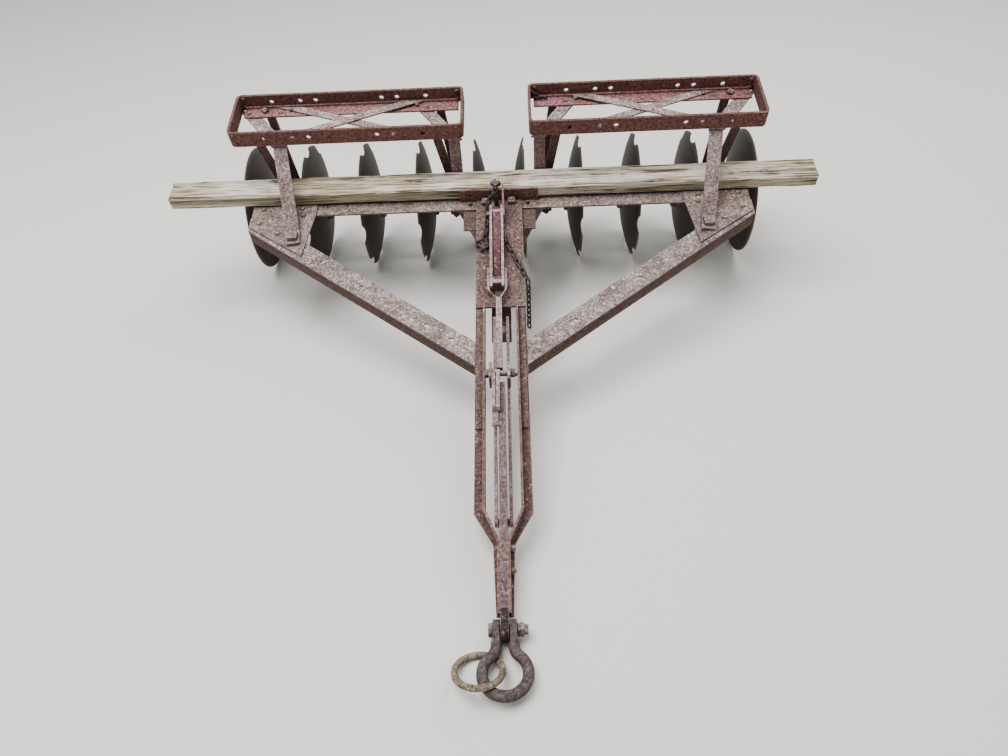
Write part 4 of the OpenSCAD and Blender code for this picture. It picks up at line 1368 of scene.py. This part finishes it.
    def cross_straps(self) -> None:
        """Model the two straps that cross in the box, the second over the first, with their ends bent up."""
        back, front, low = LAYOUT.box_back - 16, LAYOUT.box_front + 8, LAYOUT.box_low + LAYOUT.wall
        wall = self.strap_wall
        length = LAYOUT.box_out - LAYOUT.box_in
        straps = []
        for level, shares in enumerate(self.strap_shares):
            back_x, front_x = (LAYOUT.box_out - share * length for share in shares)
            half = self.strap_half / math.cos(math.atan((back_x - front_x) / (back - front)))
            z = low + level * wall
            straps.append(Workpiece.prism([
                (back_x - half, back), (back_x + half, back), (front_x + half, front), (front_x - half, front),
            ], z, z + wall))
            bent = half - 4
            straps.append(Workpiece.block(
                (front_x - bent, front, z), (front_x + bent, front + wall, z + self.strap_bend)
            ))
        self.raise_bars("crossed_straps", straps, RED_STRAP, "cross_straps")

    def rivet_corners(self) -> None:
        """Rivet the lapped rails at the corners, with a head on both faces."""
        front, back = LAYOUT.box_front, LAYOUT.box_back
        rows = []
        for x in (LAYOUT.box_in + 21, LAYOUT.box_out - 18):
            for z in (LAYOUT.box_low + 12, LAYOUT.box_top - 11):
                for y, outward, size in (
                    (front, FORWARD, 14), (front + 8, REAR, 14), (back - 8, FORWARD, 15), (back, REAR, 14),
                ):
                    rows.append((Head.RIVET, (x, y, z), outward, size, 0))
        self.fit("box_rivets", rows, RED_BOX)

    def bolt_straps(self) -> None:
        """Bolt the straps to the rails."""
        rows = [(Head.SQUARE, (720, 38, LAYOUT.box_low + 6), UP, 17, 15)]
        for x, y, lift, size in (
            (671, 32, 6, 13), (770, 34, 6, 14), (214, 34, 6, 14), (245, 38, 12, 12), (638, 38, 12, 12),
        ):
            rows.append((Head.RIVET, (x, y, LAYOUT.box_low + lift), UP, size, 0))
        self.fit("strap_bolts", rows)


@dataclass
class DiscGang:
    """One gang's turning parts: the square axle, spools and discs."""

    side: Side
    radius: float = LAYOUT.disc_radius
    dish: float = 38.0
    wall: float = 4.0
    first_rim: float = 80.0
    pitch: float = 185.0
    notched: int = 4
    notches: int = 8
    notch_radius: float = 46.0
    notch_reach: float = 231.2
    notch_turn: float = -14.0

    def build(self) -> None:
        """Dress the turning parts and make the notched discs."""
        word = self.side.word
        dress_node(f"axle_{word}", CAST_IRON, 0.6)
        dress_node(f"spools_{word}", CAST_IRON)
        dress_node(f"plain_disc_{word}", DISC)
        disc = self.notched_disc()
        made = []
        for number in range(self.notched):
            place = Matrix.Translation((self.first_rim + number * self.pitch, 0, 0))
            made.append(disc.copy(park() @ self.side.mirror @ place))
        disc.discard()
        finish_piece(join(f"deep_notched_discs_{word}", made), DISC, f"disc_gang_{word}", f"notched_discs_{word}")

    def notched_disc(self) -> Workpiece:
        """Model one disc with its rim in the plane through the origin, hollow toward +X."""
        clear_selection()
        bpy.ops.mesh.primitive_circle_add(vertices=144, radius=self.radius, fill_type="NOTHING")
        disc = Workpiece.made()
        disc.edit()
        bpy.ops.mesh.select_mode(type="EDGE")
        bpy.ops.mesh.select_all(action="SELECT")
        reach = self.radius
        for ring in (192, 178, 160, 138, 112, 84, 56, 32, 19):
            bpy.ops.mesh.extrude_region_move()
            bpy.ops.transform.resize(value=(ring / reach, ring / reach, 1))
            reach = ring
        disc.done()
        ball = (self.radius**2 + self.dish**2) / (2 * self.dish)
        for vertex in disc.body.data.vertices:
            y, z = vertex.co.x, vertex.co.y
            depth = ball - math.sqrt(ball**2 - y * y - z * z)
            vertex.co = (depth - self.dish, y, z)
        disc.edit()
        bpy.ops.mesh.select_all(action="SELECT")
        bpy.ops.mesh.normals_make_consistent(inside=False)
        disc.done()
        if disc.body.data.polygons[0].normal.x > 0:
            disc.body.data.flip_normals()
        disc.modify("SOLIDIFY", thickness=self.wall, offset=-1.0)
        cutter = self.notch_cutter()
        disc.cut(cutter)
        cutter.discard()
        disc.smooth(40)
        return disc

    def notch_cutter(self) -> Workpiece:
        """Model the rods that cut the notches, round the rim."""
        rods = []
        for number in range(self.notches):
            turn = math.radians(self.notch_turn + number * 360 / self.notches)
            rod = Workpiece.pin(self.notch_radius, -2 * self.dish, 2 * self.dish, 64, self.notch_reach)
            rods.append(rod.move(Matrix.Rotation(turn, 4, "X")))
        return Workpiece(join("notch_cutter", rods))


@dataclass
class Hitch:
    """The clevis at the nose with its bolt and the loose pulling link, drawn along the floor from the bolt."""

    bow: float = 48.0
    bar: float = 12.2
    reach: float = 97.0
    cheek_in: float = 11.0
    cheek_out: float = 26.0
    eye_radius: float = 22.0
    ring_radius: float = 50.0
    ring_bar: float = 7.3
    ring_place: Place = (-55, -91, 0)
    ring_tilt: float = -24.3

    def build(self) -> None:
        """Model the hitch."""
        self.clevis()
        self.bolt()
        self.link()

    def lay(self, piece: Workpiece) -> Workpiece:
        """Move a piece from the bolt's frame, which lies level with the floor, to the drawbar's nose."""
        nose = Matrix.Translation((0, -LAYOUT.hitch_front, LAYOUT.hitch_height))
        return piece.move(nose @ Matrix.Rotation(-math.radians(LAYOUT.park_pitch), 4, "X"))

    def clevis(self) -> None:
        """Model the clevis: a bent round bar that is flattened into two cheeks."""
        middle = (self.cheek_in + self.cheek_out) / 2
        neck = [(middle, -30, 0), (middle + 0.5, -46, 0), (middle + 7, -57, 0)]
        route = [(-x, y, z) for x, y, z in neck]
        for degrees in range(-48, -313, -12):
            turn = math.radians(degrees)
            route.append((self.bow * math.sin(turn), self.bow * math.cos(turn) - self.reach, 0))
        route += reversed(neck)
        pieces = [self.lay(bend("clevis_bow", route, self.bar, 6))]
        turns = [math.radians(degrees) for degrees in range(-90, 91, 12)]
        outline = [(self.eye_radius * math.cos(turn), self.eye_radius * math.sin(turn)) for turn in turns]
        outline += [(-22, 19), (-40, 13), (-50, 9), (-50, -9), (-40, -13), (-22, -19)]
        for way in (-1, 1):
            low, high = sorted((way * self.cheek_in, way * self.cheek_out))
            pieces.append(self.lay(Workpiece.prism(outline, low, high, "X")))
        build_bars("bent_clevis", pieces, FORGED, "hitch", "clevis", edge_mm=1.6)

    def bolt(self) -> None:
        """Model the clevis bolt with its head and nut."""
        out = self.cheek_out
        pieces = [
            self.lay(Workpiece.pin(radius, start, end, sides))
            for radius, sides, start, end in (
                (11, 36, -30, 50), (15, 36, -out - 10, -out - 0.5), (17, 6, out + 0.5, out + 15),
            )
        ]
        build_bars("clevis_bolt", pieces, BOLT_IRON, "frame", "hitch_bolt", edge_mm=1.0)

    def link(self) -> None:
        """Model the loose round link, which passes over the bow in front and under it behind."""
        clear_selection()
        bpy.ops.mesh.primitive_torus_add(
            major_segments=72, minor_segments=20, major_radius=self.ring_radius, minor_radius=self.ring_bar
        )
        tilt = Matrix.Translation(self.ring_place) @ Matrix.Rotation(math.radians(self.ring_tilt), 4, "X")
        ring = self.lay(Workpiece.made().move(tilt))
        build_bars("pulling_link", [ring], LINK_IRON, "hitch", "hitch_link", edge_mm=0.2)


@dataclass
class Studio:
    """Pale floor, soft light and the camera of the photograph."""

    eye: Place = (0.0525, -1.6249, 1.5111)
    yaw: float = -1.816
    dip: float = 42.254
    roll: float = -3.048
    lens: float = 27.04
    sky: float = 0.6
    floor_size: float = 60.0
    lamp_aim: Place = (0, 0.1, 0.3)

    def build(self) -> None:
        """Make the camera, the floor and the lights."""
        self.camera()
        self.floor()
        self.lights()

    def camera(self) -> None:
        """Stand the camera where the photograph was taken."""
        yaw, dip, roll = (math.radians(angle) for angle in (self.yaw, self.dip, self.roll))
        ahead = Vector((math.sin(yaw) * math.cos(dip), math.cos(yaw) * math.cos(dip), -math.sin(dip)))
        level = Vector((math.cos(yaw), -math.sin(yaw), 0.0))
        above = level.cross(ahead)
        right = math.cos(roll) * level + math.sin(roll) * above
        up = -math.sin(roll) * level + math.cos(roll) * above
        lens = bpy.data.cameras.new("photo_camera")
        lens.sensor_width = 36.0
        lens.lens = self.lens
        lens.clip_start, lens.clip_end = 0.05, 200.0
        holder = bpy.data.objects.new("photo_camera", lens)
        bpy.context.scene.collection.objects.link(holder)
        turn = Matrix((right, up, -ahead)).transposed().to_4x4()
        holder.matrix_world = Matrix.Translation(self.eye) @ turn
        bpy.context.scene.camera = holder

    def floor(self) -> None:
        """Lay the floor."""
        clear_selection()
        bpy.ops.mesh.primitive_plane_add(size=self.floor_size, location=(0, 0, 0))
        ground = bpy.context.object
        ground.name = "studio_floor"
        ground.data.materials.append(FLOOR.material())

    def lights(self) -> None:
        """Hang a large soft lamp over an even sky, and a weaker one behind."""
        world = bpy.context.scene.world or bpy.data.worlds.new("sky")
        bpy.context.scene.world = world
        world.use_nodes = True
        world.node_tree.nodes.clear()
        tree = Shader(world.node_tree)
        sky = tree.put("Background", {"Color": linear("#ffffff"), "Strength": self.sky}).outputs[0]
        tree.put("OutputWorld", {"Surface": sky})
        for name, place, size, power in (
            ("main_lamp", (-1.4, -0.2, 5.2), 3.6, 430.0),
            ("rear_lamp", (2.4, 2.6, 4.0), 2.6, 110.0),
        ):
            lamp = bpy.data.lights.new(name, "AREA")
            lamp.size = size
            lamp.energy = power
            holder = bpy.data.objects.new(name, lamp)
            bpy.context.scene.collection.objects.link(holder)
            holder.location = place
            holder.rotation_mode = "QUATERNION"
            holder.rotation_quaternion = (Vector(place) - Vector(self.lamp_aim)).to_track_quat("Z", "Y")


def main() -> None:
    """Build every sub-assembly in order."""
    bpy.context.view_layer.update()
    box = FastenerBox()
    Studio().build()
    Drawbar(box).build()
    TimberBeam().build()
    TripLatch(box).build()
    for side in Side:
        WeightBox(side, box).build()
        DiscGang(side).build()
    Hitch().build()
    box.put_away()
    clear_selection()


if __name__ == "__main__":
    main()
